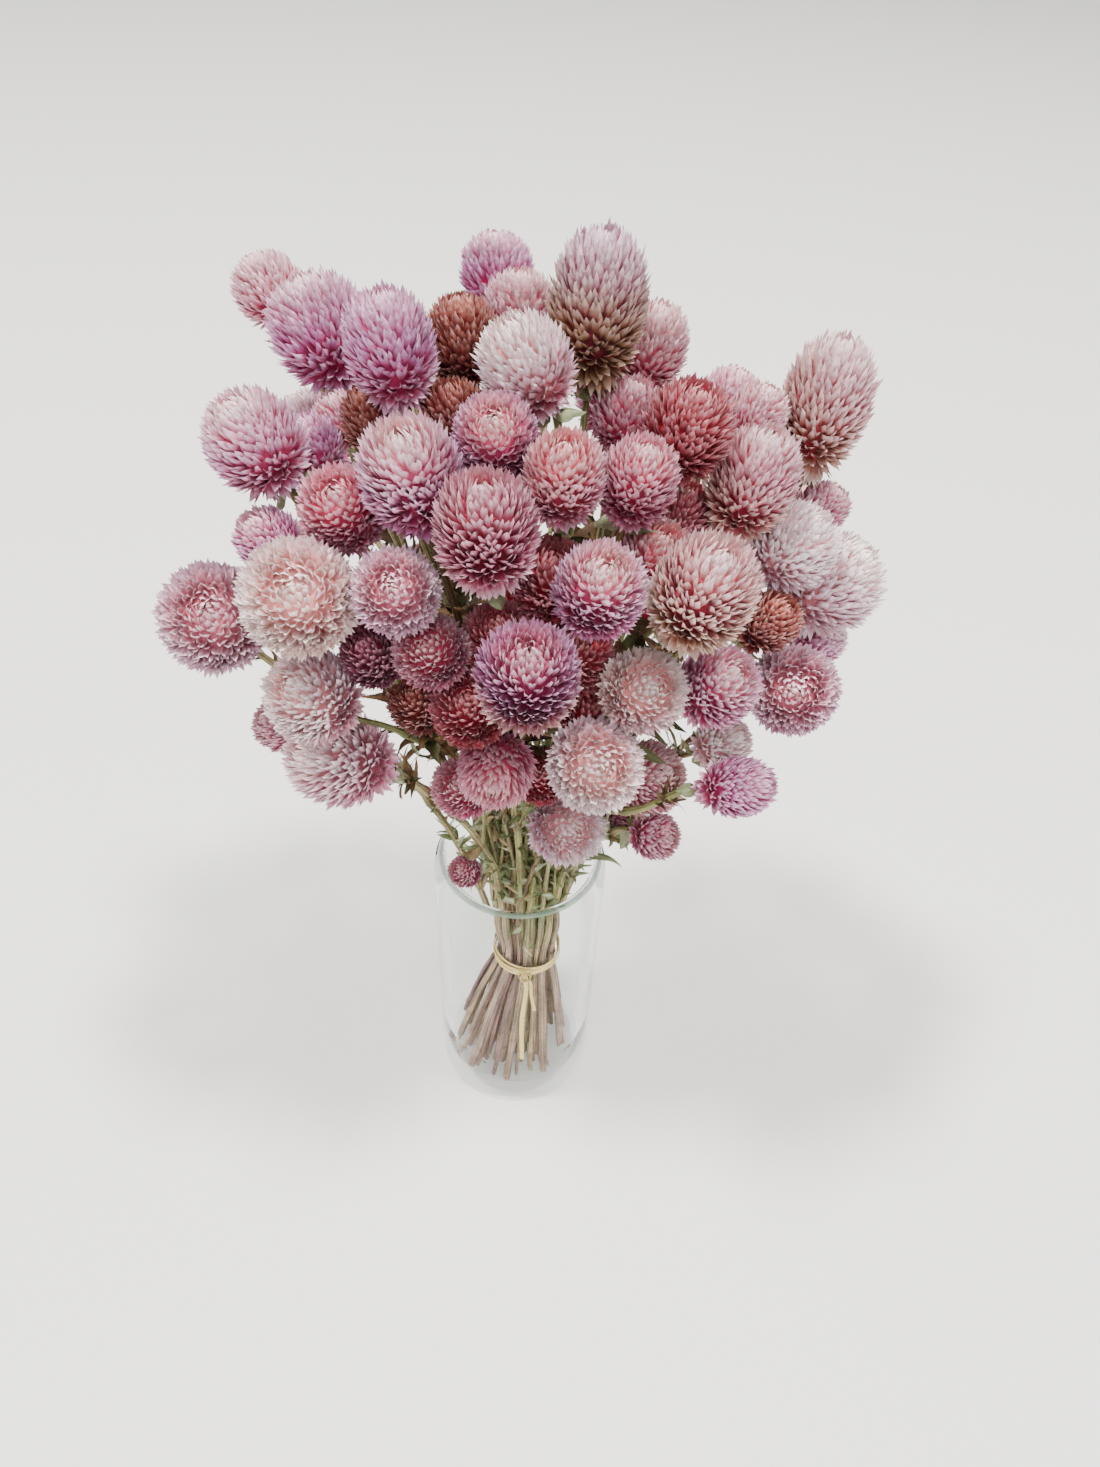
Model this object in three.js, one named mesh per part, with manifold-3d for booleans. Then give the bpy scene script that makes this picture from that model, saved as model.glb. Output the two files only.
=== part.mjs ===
// A bunch of dried globe amaranth standing in a clear glass vase.
// Millimetres, +Z up, origin at the middle of the vase's foot.
import * as THREE from "three";
import { mergeVertices } from "three/addons/utils/BufferGeometryUtils.js";
import Module from "manifold-3d";

const wasm = await Module();
wasm.setup();

// Glass vase
const vaseRadius = 30;
const vaseHeight = 122.5;
const boreRadius = 25.6;
const floorThickness = 5;
const shoulderHeight = 9;
const lipRadius = 26.7;
const lipHalfWidth = 1.1;
const footBevel = 1.2;
const vaseSides = 32;

// Raffia tie round the bunch
const tieHeight = 69;
const tieInnerRadius = 11.3;
const tieBandHalfHeight = 2.2;
const tieBandThickness = 1.8;
const tieSides = 24;
const tieMiddle = new THREE.Vector2(3.5, -1);
const knotRadius = 2.1;
const tailWidth = 2.8;
const tailThickness = 1;
const tailDrop = 46;
const tailOut = 8;

// Stems
const stemRadius = 1.25;
const stemSides = 5;
const branchRadius = 0.95;
const branchSides = 3;
const seatGap = 0.3;
const slotSpacing = 3.2;
const floorSpread = 2.25;
const mouthSpread = 1.35;
const bunchLean = new THREE.Vector2(-5, 1);
const stemCurvePoints = 7;
const branchCurvePoints = 4;
const branchAngle = THREE.MathUtils.degToRad(12.5);
const branchesPerStem = 4;
const mostStems = 28;

// Where the bunch is pinched, and how far along it the stems are free to bend
const stemFootHeight = floorThickness + seatGap + 0.15;
const midVaseHeight = 40;
const throatHeight = 100;
const mouthHeight = 128;
const mouthPoint = 4;
const firstFreeStemPoint = 3;
const stalkLength = 6;
const stalkRadius = 2;

// A branch's root along its stem, as shares of the stem's free run
const rootShare = 0.55;
const lowestRoot = 0.2;
const highestRoot = 0.6;

// How tightly curves leave and arrive, as shares of their span
const stemEase = 0.33;
const branchLeave = 0.25;
const branchArrive = 0.4;

// How the heads and the stems are kept clear of each other
const headClearance = 0.5;
const headRounds = 80;
const backShare = 0.45;
const asideShare = 0.2;
const bendRounds = 60;
const bendClearance = 0.45;
const bendEase = 0.12;
const mouthMargin = 4;

// How deep a side head's stalk runs into it, and how much joined solids are flattened
const sunkDepth = 2;
const flatness = 0.1;

// Flower heads
const headColumns = 7;
const headRows = 5;
const sideHeadGrid = [6, 4];
const buriedHeadGrid = [5, 3];
const buriedHeadWidth = 16.6;
const seatLatitude = 0.42;
const topLatitude = 2.72;
const seatDrop = 0.5 * (1 - Math.cos(seatLatitude));
const scaleLift = 0.12;
const scaleReach = 0.85;
const tipReach = 1.04;

// Leaves
const leafKeel = 1.3;
const leafWidth = 5;
const leafLength = 21;
const leafTries = 6;
const leafMargin = 0.8;
const leafSwing = 1.6;
const leafTurn = 0.9;
const leafStations = [[0, 0.4], [0.45, 1], [1, 0]];

// The view that the heads' places are read in: picture pixels, eye in millimetres
const pictureMiddle = { across: 550, down: 733.5 };
const pictureFocus = 1059;
const eye = new THREE.Vector3(7.9, -234.9, 406.1);
const eyePitch = THREE.MathUtils.degToRad(44);
const eyeRoll = THREE.MathUtils.degToRad(3.2);

// The rounded outline of the bouquet that most heads lie on
const domeMiddle = new THREE.Vector3(-3, 0, 245);
const domeRadii = new THREE.Vector3(80, 64, 66);

// The point that the heads point away from
const mouthMiddle = new THREE.Vector3(0, 0, vaseHeight + 22);

// Starting numbers of the repeatable draws, so that each kind of thing varies on its own
const leafSeed = 17;
const leafOrderSeed = 5;
const toneSeed = 7;

// One row a head: where its middle shows in the picture, its real width and length,
// how deep it sits below the bouquet's outline, and which way it leans from straight outward
const head = (across, down, width, length, depth, lean = [0, 0, 0]) =>
  ({ across, down, width, length, depth, lean });

const openHeads = [
  head(272, 291, 17, 18.5, 20, [-0.2, 0, 0.2]),
  head(318, 331, 24, 27, 2, [-0.1, 0, 0.2]),
  head(390, 347, 19, 26, 4, [0, 0.1, 0.4]),
  head(497, 271, 17.5, 19, 14),
  head(514, 312, 17, 19, 20),
  head(457, 352, 17, 21, 16),
  head(522, 371, 19.5, 22, 3, [-0.5, 0, 0]),
  head(597, 306, 20.5, 34, -6, [0, 0.1, 0.5]),
  head(641, 352, 17, 22, 16),
  head(686, 430, 19, 22, 5),
  head(817, 404, 21, 35, 0, [-0.25, 0.1, 0.6]),
  head(735, 474, 18.5, 28, 2, [-0.1, 0.1, 0.3]),
  head(637, 480, 16, 21, 5),
  head(564, 477, 16.5, 21, 3),
  head(497, 438, 17.5, 18.5, 6, [0, -0.4, -0.1]),
  head(413, 476, 20.5, 26, -2),
  head(254, 441, 21, 24, 0),
  head(338, 518, 18, 20, 3, [0.2, -0.3, 0]),
  head(486, 530, 20, 27, -5, [0, 0.1, 0.2]),
  head(643, 550, 18, 19, 8),
  head(776, 532, 19.5, 22, 4),
  head(823, 581, 24, 27, 0),
  head(704, 592, 21, 28, -4, [0, 0.1, 0.2]),
  head(600, 590, 18.5, 22, 0),
  head(556, 572, 18, 20, 14),
  head(302, 597, 24, 26, -6, [0.35, -0.35, -0.1]),
  head(214, 618, 26, 27, -2, [0.75, -0.45, 0]),
  head(396, 592, 18, 20, 2, [0.2, -0.45, -0.1]),
  head(428, 646, 16.5, 17.5, 8, [0, -0.3, 0]),
  head(318, 692, 21, 22, 0),
  head(338, 758, 23, 29, 0, [-0.2, 0, 0]),
  head(467, 690, 18, 20, 11),
  head(528, 677, 20.5, 27, -8, [0, 0.1, 0.1]),
  head(577, 640, 18, 20, 15),
  head(655, 672, 19, 19.5, 0, [0.1, -0.3, 0]),
  head(713, 686, 18.5, 21, 5),
  head(793, 690, 22, 25, 0, [-0.7, -0.5, -0.1]),
  head(607, 747, 21.5, 23, -8, [0, -0.3, -0.1]),
  head(491, 757, 19, 19, 18, [0, -0.5, -0.8]),
  head(680, 782, 21, 23, 4),
  head(738, 787, 15, 21, 4, [0.3, 0, 0]),
  head(567, 827, 22, 21, 42, [0, -0.3, 0.3]),
];

const sideHeads = [
  head(614, 405, 16, 18, 22),
  head(447, 410, 16, 17, 24),
  head(757, 415, 14, 16, 18),
  head(303, 447, 14, 16, 22),
  head(335, 425, 13, 14, 30),
  head(817, 505, 13, 15, 22),
  head(268, 540, 14.5, 16, 15),
  head(374, 655, 14, 16, 14),
  head(281, 725, 14, 15, 16),
  head(490, 638, 16, 18, 16),
  head(720, 745, 14, 16, 14),
  head(655, 832, 13.5, 14, 36),
  head(622, 812, 14, 15, 48),
  head(418, 693, 15, 17, 16),
  head(463, 787, 17, 18, 38),
  head(690, 505, 17, 19, 15),
  head(820, 635, 13, 15, 14),
  head(770, 622, 14, 16, 16),
  head(541, 612, 17, 19, 20),
  head(540, 776, 15, 16, 34),
  head(376, 418, 15, 17, 28),
  head(582, 700, 15, 17, 24),
];

// The far side, which the picture hides: places in millimetres
const farHead = (x, y, z, width, length, lean = [0, 0, 0]) =>
  ({ middle: new THREE.Vector3(x, y, z), width, length, lean });

const farHeads = [
  farHead(-64, 38, 256, 21, 24),
  farHead(-38, 60, 262, 22, 26),
  farHead(-8, 68, 256, 20, 25),
  farHead(22, 64, 262, 23, 27),
  farHead(50, 50, 254, 20, 23),
  farHead(70, 26, 244, 21, 24),
  farHead(-22, 62, 230, 21, 24),
  farHead(32, 60, 228, 22, 24),
  farHead(-38, 40, 283, 16, 19),
  farHead(2, 46, 282, 16, 18),
  farHead(26, 38, 282, 17, 20),
  farHead(50, 30, 276, 16, 19),
  farHead(-52, 50, 232, 15, 17),
  farHead(6, 66, 232, 14, 17),
  farHead(58, 42, 224, 15, 17),
  farHead(-68, 14, 232, 15, 17),
  farHead(-36, 46, 206, 14, 16),
  farHead(4, 52, 204, 15, 17),
  farHead(38, 42, 200, 14, 15),
  farHead(-17, -22, 137, 10, 11, [0, 0, 1.4]),
];

const colours = {
  glass: 0xdfe8e2,
  raffia: 0xcdbb84,
  stem: 0x8b8560,
  headLight: 0xe6c3c6,
  headDeep: 0xc48cb0,
};

const up = new THREE.Vector3(0, 0, 1);

// A repeatable draw between 0 and 1 for a whole number
function draw(number) {
  const value = Math.sin(number * 12.9898 + 4.1414) * 43758.5453;
  return value - Math.floor(value);
}

// Where a head's middle lies: along its sight line, at the bouquet's outline or below it
function sightLine(across, down) {
  const forward = new THREE.Vector3(0, Math.cos(eyePitch), -Math.sin(eyePitch));
  const level = new THREE.Vector3(1, 0, 0);
  const upright = new THREE.Vector3(0, Math.sin(eyePitch), Math.cos(eyePitch));
  const right = level.clone().multiplyScalar(Math.cos(eyeRoll)).addScaledVector(upright, Math.sin(eyeRoll));
  const above = upright.clone().multiplyScalar(Math.cos(eyeRoll)).addScaledVector(level, -Math.sin(eyeRoll));
  return forward
    .addScaledVector(right, (across - pictureMiddle.across) / pictureFocus)
    .addScaledVector(above, (pictureMiddle.down - down) / pictureFocus);
}

function placeOnDome(row) {
  const ray = sightLine(row.across, row.down);
  const start = eye.clone().sub(domeMiddle).divide(domeRadii);
  const step = ray.clone().divide(domeRadii);
  const a = step.dot(step);
  const b = start.dot(step);
  const c = start.dot(start) - 1;
  const inside = b * b - a * c;
  const distance = (-b - Math.sqrt(Math.max(inside, 0))) / a + row.depth / ray.length();
  return { middle: eye.clone().addScaledVector(ray, distance), ray: ray.normalize() };
}

// Heads point outward from the vase's mouth, changed by their lean
function headAxis(middle, lean) {
  return middle.clone().sub(mouthMiddle).normalize().add(new THREE.Vector3(...lean)).normalize();
}

// A head as a rounded rod: a line between two ends, and a radius
function headRod(item) {
  const radius = item.width / 2;
  const half = Math.max(item.length / 2 - radius, 0);
  return {
    from: item.middle.clone().addScaledVector(item.axis, -half),
    to: item.middle.clone().addScaledVector(item.axis, half),
    radius,
  };
}

// Nearest points of two lines, as shares along each
function nearest(p1, q1, p2, q2) {
  const d1 = q1.clone().sub(p1);
  const d2 = q2.clone().sub(p2);
  const r = p1.clone().sub(p2);
  const a = Math.max(d1.dot(d1), 1e-9);
  const e = Math.max(d2.dot(d2), 1e-9);
  const f = d2.dot(r);
  const c = d1.dot(r);
  const b = d1.dot(d2);
  const denominator = a * e - b * b;
  let s = denominator > 1e-9 ? THREE.MathUtils.clamp((b * f - c * e) / denominator, 0, 1) : 0;
  const t = THREE.MathUtils.clamp((b * s + f) / e, 0, 1);
  s = THREE.MathUtils.clamp((b * t - c) / a, 0, 1);
  const apart = p1.clone().addScaledVector(d1, s).sub(p2.clone().addScaledVector(d2, t));
  return { s, t, apart, distance: apart.length() };
}

// The top of the stalk under a head, as a rod
function stalkRod(item) {
  const base = item.middle.clone().addScaledVector(item.axis, -item.length / 2);
  return { from: base, to: base.clone().addScaledVector(item.axis, -stalkLength), radius: stalkRadius };
}

// How much two heads with their stalks lack to be clear of each other, and the way apart
function tightest(one, two) {
  const pairs = [
    [headRod(one), headRod(two)],
    [stalkRod(one), headRod(two)],
    [headRod(one), stalkRod(two)],
  ];
  return pairs
    .map(([a, b]) => {
      const gap = nearest(a.from, a.to, b.from, b.to);
      return { need: a.radius + b.radius + headClearance - gap.distance, apart: gap.apart };
    })
    .reduce((most, other) => (other.need > most.need ? other : most));
}

// Heads that would run into each other move apart, the farther one back along its sight line.
// Every round looks at all pairs first and moves the heads afterwards
function settleHeads(items) {
  for (let round = 0; round < headRounds; round += 1) {
    const moves = items.map(() => new THREE.Vector3());
    const distances = items.map((item) => item.middle.distanceTo(eye));
    for (let i = 0; i < items.length; i += 1) {
      for (let j = i + 1; j < items.length; j += 1) {
        const { need, apart } = tightest(items[i], items[j]);
        if (need <= 0) {
          continue;
        }
        const farther = distances[i] > distances[j] ? i : j;
        const sign = farther === i ? 1 : -1;
        if (items[farther].ray) {
          moves[farther].addScaledVector(items[farther].ray, need * backShare);
        }
        moves[farther].addScaledVector(apart.normalize(), sign * need * asideShare);
      }
    }
    items.forEach((item, place) => {
      item.middle.add(moves[place]);
      item.axis = headAxis(item.middle, item.lean);
    });
  }
}

// The heads in their places
function makeHead(row, index) {
  const place = row.middle ? { middle: row.middle.clone(), ray: null } : placeOnDome(row);
  const item = { ...row, ...place, index };
  item.axis = headAxis(item.middle, item.lean);
  return item;
}

const heads = [...openHeads, ...sideHeads, ...farHeads].map(makeHead);
for (const item of heads) {
  item.isMain = item.index < openHeads.length ? 1 : 0;
}
settleHeads(heads);
for (const item of heads) {
  item.base = item.middle.clone().addScaledVector(item.axis, -item.length / 2);
  item.rod = headRod(item);
}

// Each stem's heading, from the vase's mouth to its head
for (const item of heads) {
  const way = item.base.clone().sub(mouthMiddle);
  item.reach = way.length();
  item.heading = way.normalize();
}

// A head close behind another's heading grows from its stem as a side branch,
// and each of the rest ends a stem of its own
function chooseStems(items) {
  const stems = [];
  const branches = [];
  const order = [...items].sort((one, two) => two.isMain - one.isMain || two.reach - one.reach);
  for (const item of order) {
    const near = stems
      .filter((stem) => stem.branchCount < branchesPerStem)
      .map((stem) => ({ stem, angle: stem.head.heading.angleTo(item.heading) }))
      .sort((one, two) => one.angle - two.angle)[0];
    if (near && (near.angle < branchAngle || stems.length === mostStems)) {
      near.stem.branchCount += 1;
      branches.push({ head: item, stem: near.stem });
    } else {
      stems.push({ head: item, branchCount: 0 });
    }
  }
  return { stems, branches };
}

const { stems, branches } = chooseStems(heads);

// The stems pass the tie in rings, the most upright in the middle,
// each ring in the order of the headings round the bunch
function takeSlots(list) {
  const upright = [...list].sort((one, two) => two.head.heading.z - one.head.heading.z);
  let taken = 0;
  for (let ring = 0; taken < upright.length; ring += 1) {
    const room = Math.max(6 * ring, 1);
    const members = upright.slice(taken, taken + room);
    taken += room;
    const turned = members
      .map((stem) => ({ stem, turn: Math.atan2(stem.head.heading.y, stem.head.heading.x) }))
      .sort((one, two) => one.turn - two.turn);
    const pitch = (2 * Math.PI) / members.length;
    let sine = 0;
    let cosine = 0;
    turned.forEach(({ turn }, place) => {
      sine += Math.sin(turn - place * pitch);
      cosine += Math.cos(turn - place * pitch);
    });
    const start = Math.atan2(sine, cosine);
    turned.forEach(({ stem }, place) => {
      const angle = start + place * pitch;
      const radius = ring * slotSpacing;
      stem.slot = new THREE.Vector2(radius * Math.cos(angle), radius * Math.sin(angle));
    });
  }
}

takeSlots(stems);

function bunchPoint(stem, spread, shift, height) {
  return new THREE.Vector3(
    tieMiddle.x + stem.slot.x * spread + shift * bunchLean.x,
    tieMiddle.y + stem.slot.y * spread + shift * bunchLean.y,
    height,
  );
}

function seatOf(item, gap) {
  return item.base.clone().addScaledVector(item.axis, -gap);
}

// The last stretch below a head runs straight along the head's axis
function straightenStalk(points, item) {
  points[points.length - 2] = item.base.clone().addScaledVector(item.axis, -stalkLength);
  return points;
}

function stemPoints(stem) {
  const half = (midVaseHeight - stemFootHeight) / (tieHeight - stemFootHeight);
  const throat = (throatHeight - tieHeight) / (mouthHeight - tieHeight);
  const points = [
    bunchPoint(stem, floorSpread, 1, stemFootHeight),
    bunchPoint(stem, THREE.MathUtils.lerp(floorSpread, 1, half), 1 - half, midVaseHeight),
    bunchPoint(stem, 1, 0, tieHeight),
    bunchPoint(stem, THREE.MathUtils.lerp(1, mouthSpread, throat), 0, throatHeight),
  ];
  const mouth = bunchPoint(stem, mouthSpread, 0, mouthHeight);
  const end = seatOf(stem.head, seatGap);
  const span = mouth.distanceTo(end);
  const leaving = mouth.clone().sub(points[mouthPoint - 1]).normalize();
  const curve = new THREE.CubicBezierCurve3(
    mouth,
    mouth.clone().addScaledVector(leaving, span * stemEase),
    end.clone().addScaledVector(stem.head.axis, -span * stemEase),
    end,
  );
  return [...points, ...straightenStalk(curve.getPoints(stemCurvePoints), stem.head)];
}

// A branch leaves its stem between the mouth and the stem's head, the shorter its reach the lower
function branchPoints(branch) {
  const main = branch.stem.points;
  const reachShare = branch.head.reach / branch.stem.head.reach;
  const share = THREE.MathUtils.clamp(reachShare * rootShare, lowestRoot, highestRoot);
  branch.rootPoint = mouthPoint + Math.round(share * stemCurvePoints);
  const start = main[branch.rootPoint];
  const end = seatOf(branch.head, -sunkDepth);
  const span = start.distanceTo(end);
  const along = main[branch.rootPoint + 1].clone().sub(main[branch.rootPoint]).normalize();
  const curve = new THREE.CubicBezierCurve3(
    start,
    start.clone().addScaledVector(along, span * branchLeave),
    end.clone().addScaledVector(branch.head.axis, -span * branchArrive),
    end,
  );
  return straightenStalk(curve.getPoints(branchCurvePoints), branch.head);
}

for (const stem of stems) {
  stem.points = stemPoints(stem);
  stem.radius = stemRadius;
}
for (const branch of branches) {
  branch.points = branchPoints(branch);
  branch.radius = branchRadius;
}

// Stems bend clear of each other and of the heads: every round moves each free point
// by half of what its lines lack, then eases the kinks
function freePoint(route, place) {
  const first = route.stem ? 1 : firstFreeStemPoint;
  return place >= first && place < route.points.length - 2;
}

function bendRoutes(routes) {
  const lines = [];
  routes.forEach((route) => {
    for (let place = 0; place + 1 < route.points.length; place += 1) {
      lines.push({ route, place });
    }
  });
  for (let round = 0; round < bendRounds; round += 1) {
    const moves = new Map(routes.map((route) => [route, route.points.map(() => new THREE.Vector3())]));
    for (let i = 0; i < lines.length; i += 1) {
      const one = lines[i];
      const p1 = one.route.points[one.place];
      const q1 = one.route.points[one.place + 1];
      for (let j = i + 1; j < lines.length; j += 1) {
        const two = lines[j];
        if (one.route === two.route || joined(one, two)) {
          continue;
        }
        const p2 = two.route.points[two.place];
        const q2 = two.route.points[two.place + 1];
        const reach = one.route.radius + two.route.radius + bendClearance;
        if (apartByBox(p1, q1, p2, q2, reach)) {
          continue;
        }
        const gap = nearest(p1, q1, p2, q2);
        if (gap.distance >= reach) {
          continue;
        }
        const push = gap.apart.normalize().multiplyScalar((reach - gap.distance) * 0.5);
        addMove(moves, one, push, gap.s, 1);
        addMove(moves, two, push, gap.t, -1);
      }
      for (const item of heads) {
        if (item === one.route.head && one.place >= one.route.points.length - 3) {
          continue;
        }
        const reach = one.route.radius + item.rod.radius + bendClearance;
        if (apartByBox(p1, q1, item.rod.from, item.rod.to, reach)) {
          continue;
        }
        const gap = nearest(p1, q1, item.rod.from, item.rod.to);
        if (gap.distance >= reach) {
          continue;
        }
        addMove(moves, one, gap.apart.normalize().multiplyScalar(reach - gap.distance), gap.s, 1);
      }
    }
    for (const route of routes) {
      const old = route.points.map((point) => point.clone());
      route.points.forEach((point, place) => {
        if (!freePoint(route, place)) {
          return;
        }
        point.add(moves.get(route)[place]);
        const middle = old[place - 1].clone().add(old[place + 1]).multiplyScalar(0.5);
        point.addScaledVector(middle.sub(old[place]), bendEase);
        holdInVase(point, route.radius);
      });
    }
    for (const route of routes) {
      if (route.stem) {
        route.points[0].copy(route.stem.points[route.rootPoint]);
      }
    }
  }
}

function addMove(moves, line, push, share, sign) {
  const list = moves.get(line.route);
  list[line.place].addScaledVector(push, sign * (1 - share));
  list[line.place + 1].addScaledVector(push, sign * share);
}

// A branch touches its own stem where it leaves it
function joined(one, two) {
  return touchesRoot(one, two) || touchesRoot(two, one);
}

function touchesRoot(branchLine, stemLine) {
  const route = branchLine.route;
  return (route.stem === stemLine.route && branchLine.place === 0)
    || (route.stem !== undefined && route.stem === stemLine.route.stem && branchLine.place === 0
      && stemLine.place === 0);
}

function apartByBox(p1, q1, p2, q2, reach) {
  return ["x", "y", "z"].some((side) =>
    Math.min(p1[side], q1[side]) - reach > Math.max(p2[side], q2[side])
    || Math.min(p2[side], q2[side]) - reach > Math.max(p1[side], q1[side]));
}

function holdInVase(point, radius) {
  const most = boreRadius - radius - bendClearance;
  const out = Math.hypot(point.x, point.y);
  if (point.z < vaseHeight + mouthMargin && out > most) {
    point.x *= most / out;
    point.y *= most / out;
  }
}

bendRoutes([...stems, ...branches]);

// A route through its points in straight lines, one step of the curve's run a line
class Route extends THREE.Curve {
  constructor(points) {
    super();
    this.points = points;
  }

  getPoint(share, target = new THREE.Vector3()) {
    const run = THREE.MathUtils.clamp(share, 0, 1) * (this.points.length - 1);
    const place = Math.min(Math.floor(run), this.points.length - 2);
    return target.lerpVectors(this.points[place], this.points[place + 1], run - place);
  }

  getPointAt(share, target) {
    return this.getPoint(share, target);
  }

  getTangentAt(share, target) {
    return this.getTangent(share, target);
  }
}

// A tube of few sides along a route
function tube(points, radius, sides, turn) {
  const corner = (side) => {
    const angle = turn + (2 * Math.PI * side) / sides;
    return new THREE.Vector2(radius * Math.cos(angle), radius * Math.sin(angle));
  };
  const section = new THREE.Shape(Array.from({ length: sides }, (_, side) => corner(side)));
  return new THREE.ExtrudeGeometry(section, { steps: points.length - 1, extrudePath: new Route(points) });
}

// A closed three.js geometry as a solid that can be joined and cut
function solidOf(geometry) {
  const bare = geometry.index ? geometry.toNonIndexed() : geometry.clone();
  bare.deleteAttribute("normal");
  bare.deleteAttribute("uv");
  const merged = mergeVertices(bare, 1e-4);
  return new wasm.Manifold(new wasm.Mesh({
    numProp: 3,
    vertProperties: new Float32Array(merged.attributes.position.array),
    triVerts: new Uint32Array(merged.index.array),
  }));
}

function geometryOf(solid) {
  const mesh = solid.simplify(flatness).getMesh();
  const geometry = new THREE.BufferGeometry();
  geometry.setAttribute("position", new THREE.BufferAttribute(new Float32Array(mesh.vertProperties), 3));
  geometry.setIndex(new THREE.BufferAttribute(new Uint32Array(mesh.triVerts), 1));
  geometry.computeVertexNormals();
  return geometry;
}

// A head: a rounded body covered in rows of raised, upward-pointing scales on a flat seat.
// Rings of corners are staggered, and each four-cornered field between them rises to one scale's point
function headGeometry(width, length, columns, rows, turn) {
  const corners = [];
  const faces = [];
  const pitch = (2 * Math.PI) / columns;
  const latitude = (ring) => THREE.MathUtils.lerp(seatLatitude, topLatitude, ring / rows);
  const place = (angle, lat, out) => {
    const radius = (width / 2) * Math.sin(lat) * out;
    const height = (length * (1 - Math.cos(lat))) / 2 - seatDrop * length;
    corners.push(radius * Math.cos(angle), radius * Math.sin(angle), height);
    return corners.length / 3 - 1;
  };
  const rings = [];
  for (let ring = 0; ring <= rows; ring += 1) {
    const shift = turn + (ring % 2) * 0.5 * pitch;
    rings.push(Array.from({ length: columns }, (_, column) =>
      place(shift + column * pitch, latitude(ring), 1 - scaleLift)));
  }
  const at = (ring, column) => rings[ring][(column + columns) % columns];
  for (let ring = 1; ring < rows; ring += 1) {
    const odd = ring % 2;
    for (let column = 0; column < columns; column += 1) {
      const left = at(ring, column);
      const right = at(ring, column + 1);
      const below = at(ring - 1, column + odd);
      const above = at(ring + 1, column + odd);
      const angle = turn + (column + 0.5 + odd * 0.5) * pitch;
      const tip = place(angle, latitude(ring + scaleReach), tipReach);
      faces.push(below, right, tip, right, above, tip, above, left, tip, left, below, tip);
    }
  }
  const seat = place(0, 0, 0);
  corners[seat * 3 + 2] = corners[at(0, 0) * 3 + 2];
  const top = place(0, Math.PI, 0);
  for (let column = 0; column < columns; column += 1) {
    faces.push(at(0, column + 1), at(0, column), seat);
    faces.push(at(0, column), at(0, column + 1), at(1, column));
    const last = rows % 2;
    faces.push(at(rows, column), at(rows, column + 1), top);
    faces.push(at(rows, column), at(rows - 1, column + last), at(rows, column + 1));
  }
  const geometry = new THREE.BufferGeometry();
  geometry.setAttribute("position", new THREE.Float32BufferAttribute(corners, 3));
  geometry.setIndex(faces);
  return geometry;
}

function placedHead(item, columns, rows) {
  const geometry = headGeometry(item.width, item.length, columns, rows, draw(item.index) * Math.PI);
  const turn = new THREE.Quaternion().setFromUnitVectors(up, item.axis);
  geometry.applyQuaternion(turn);
  geometry.translate(item.base.x, item.base.y, item.base.z);
  return geometry;
}

// A narrow leaf: three-sided, keeled below, wide in its middle and pointed
function leafGeometry(root, direction, width, length, droop) {
  const across = new THREE.Vector3().crossVectors(direction, up).normalize();
  const under = new THREE.Vector3().crossVectors(across, direction).normalize();
  const corners = [];
  for (const [share, spread] of leafStations) {
    const spine = root.clone()
      .addScaledVector(direction, share * length)
      .addScaledVector(up, -droop * length * share * share);
    const half = (width / 2) * spread;
    for (const [side, drop] of [[1, 0], [-1, 0], [0, leafKeel * Math.max(spread, 0.25)]]) {
      const corner = spine.clone().addScaledVector(across, side * half).addScaledVector(under, drop);
      corners.push(corner);
      if (spread === 0) {
        break;
      }
    }
  }
  const faces = [0, 2, 1];
  for (let side = 0; side < 3; side += 1) {
    const next = (side + 1) % 3;
    faces.push(side, next, side + 3, next, next + 3, side + 3);
    faces.push(side + 3, next + 3, 6);
  }
  const geometry = new THREE.BufferGeometry();
  geometry.setAttribute("position", new THREE.Float32BufferAttribute(corners.flatMap((c) => c.toArray()), 3));
  geometry.setIndex(faces);
  return geometry;
}

// A leafy stem: its tube, and its side branches with their heads
function stemSolid(stem) {
  const parts = [tube(stem.points, stemRadius, stemSides, draw(stem.number))];
  for (const branch of branches.filter((item) => item.stem === stem)) {
    const [columns, rows] = branch.head.width < buriedHeadWidth ? buriedHeadGrid : sideHeadGrid;
    parts.push(tube(branch.points, branchRadius, branchSides, draw(branch.head.index)));
    parts.push(placedHead(branch.head, columns, rows));
  }
  return parts.map(solidOf).reduce((whole, part) => whole.add(part));
}

function vaseGeometry() {
  const profile = [new THREE.Vector2(0, 0), new THREE.Vector2(vaseRadius - footBevel, 0)];
  const shoulder = new THREE.CubicBezierCurve(
    new THREE.Vector2(vaseRadius, vaseHeight - shoulderHeight),
    new THREE.Vector2(vaseRadius, vaseHeight - shoulderHeight * 0.35),
    new THREE.Vector2(lipRadius + lipHalfWidth * 1.6, vaseHeight - shoulderHeight * 0.1),
    new THREE.Vector2(lipRadius + lipHalfWidth * 0.5, vaseHeight),
  );
  profile.push(new THREE.Vector2(vaseRadius, footBevel), ...shoulder.getPoints(4));
  profile.push(
    new THREE.Vector2(lipRadius - lipHalfWidth * 0.5, vaseHeight),
    new THREE.Vector2(boreRadius, vaseHeight - lipHalfWidth * 2),
    new THREE.Vector2(boreRadius, floorThickness + footBevel),
    new THREE.Vector2(boreRadius - footBevel, floorThickness),
    new THREE.Vector2(0, floorThickness),
  );
  return uprightLathe(profile, vaseSides);
}

// A shape turned round the upright axis
function uprightLathe(profile, sides) {
  return new THREE.LatheGeometry(profile, sides).rotateX(Math.PI / 2);
}

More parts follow.
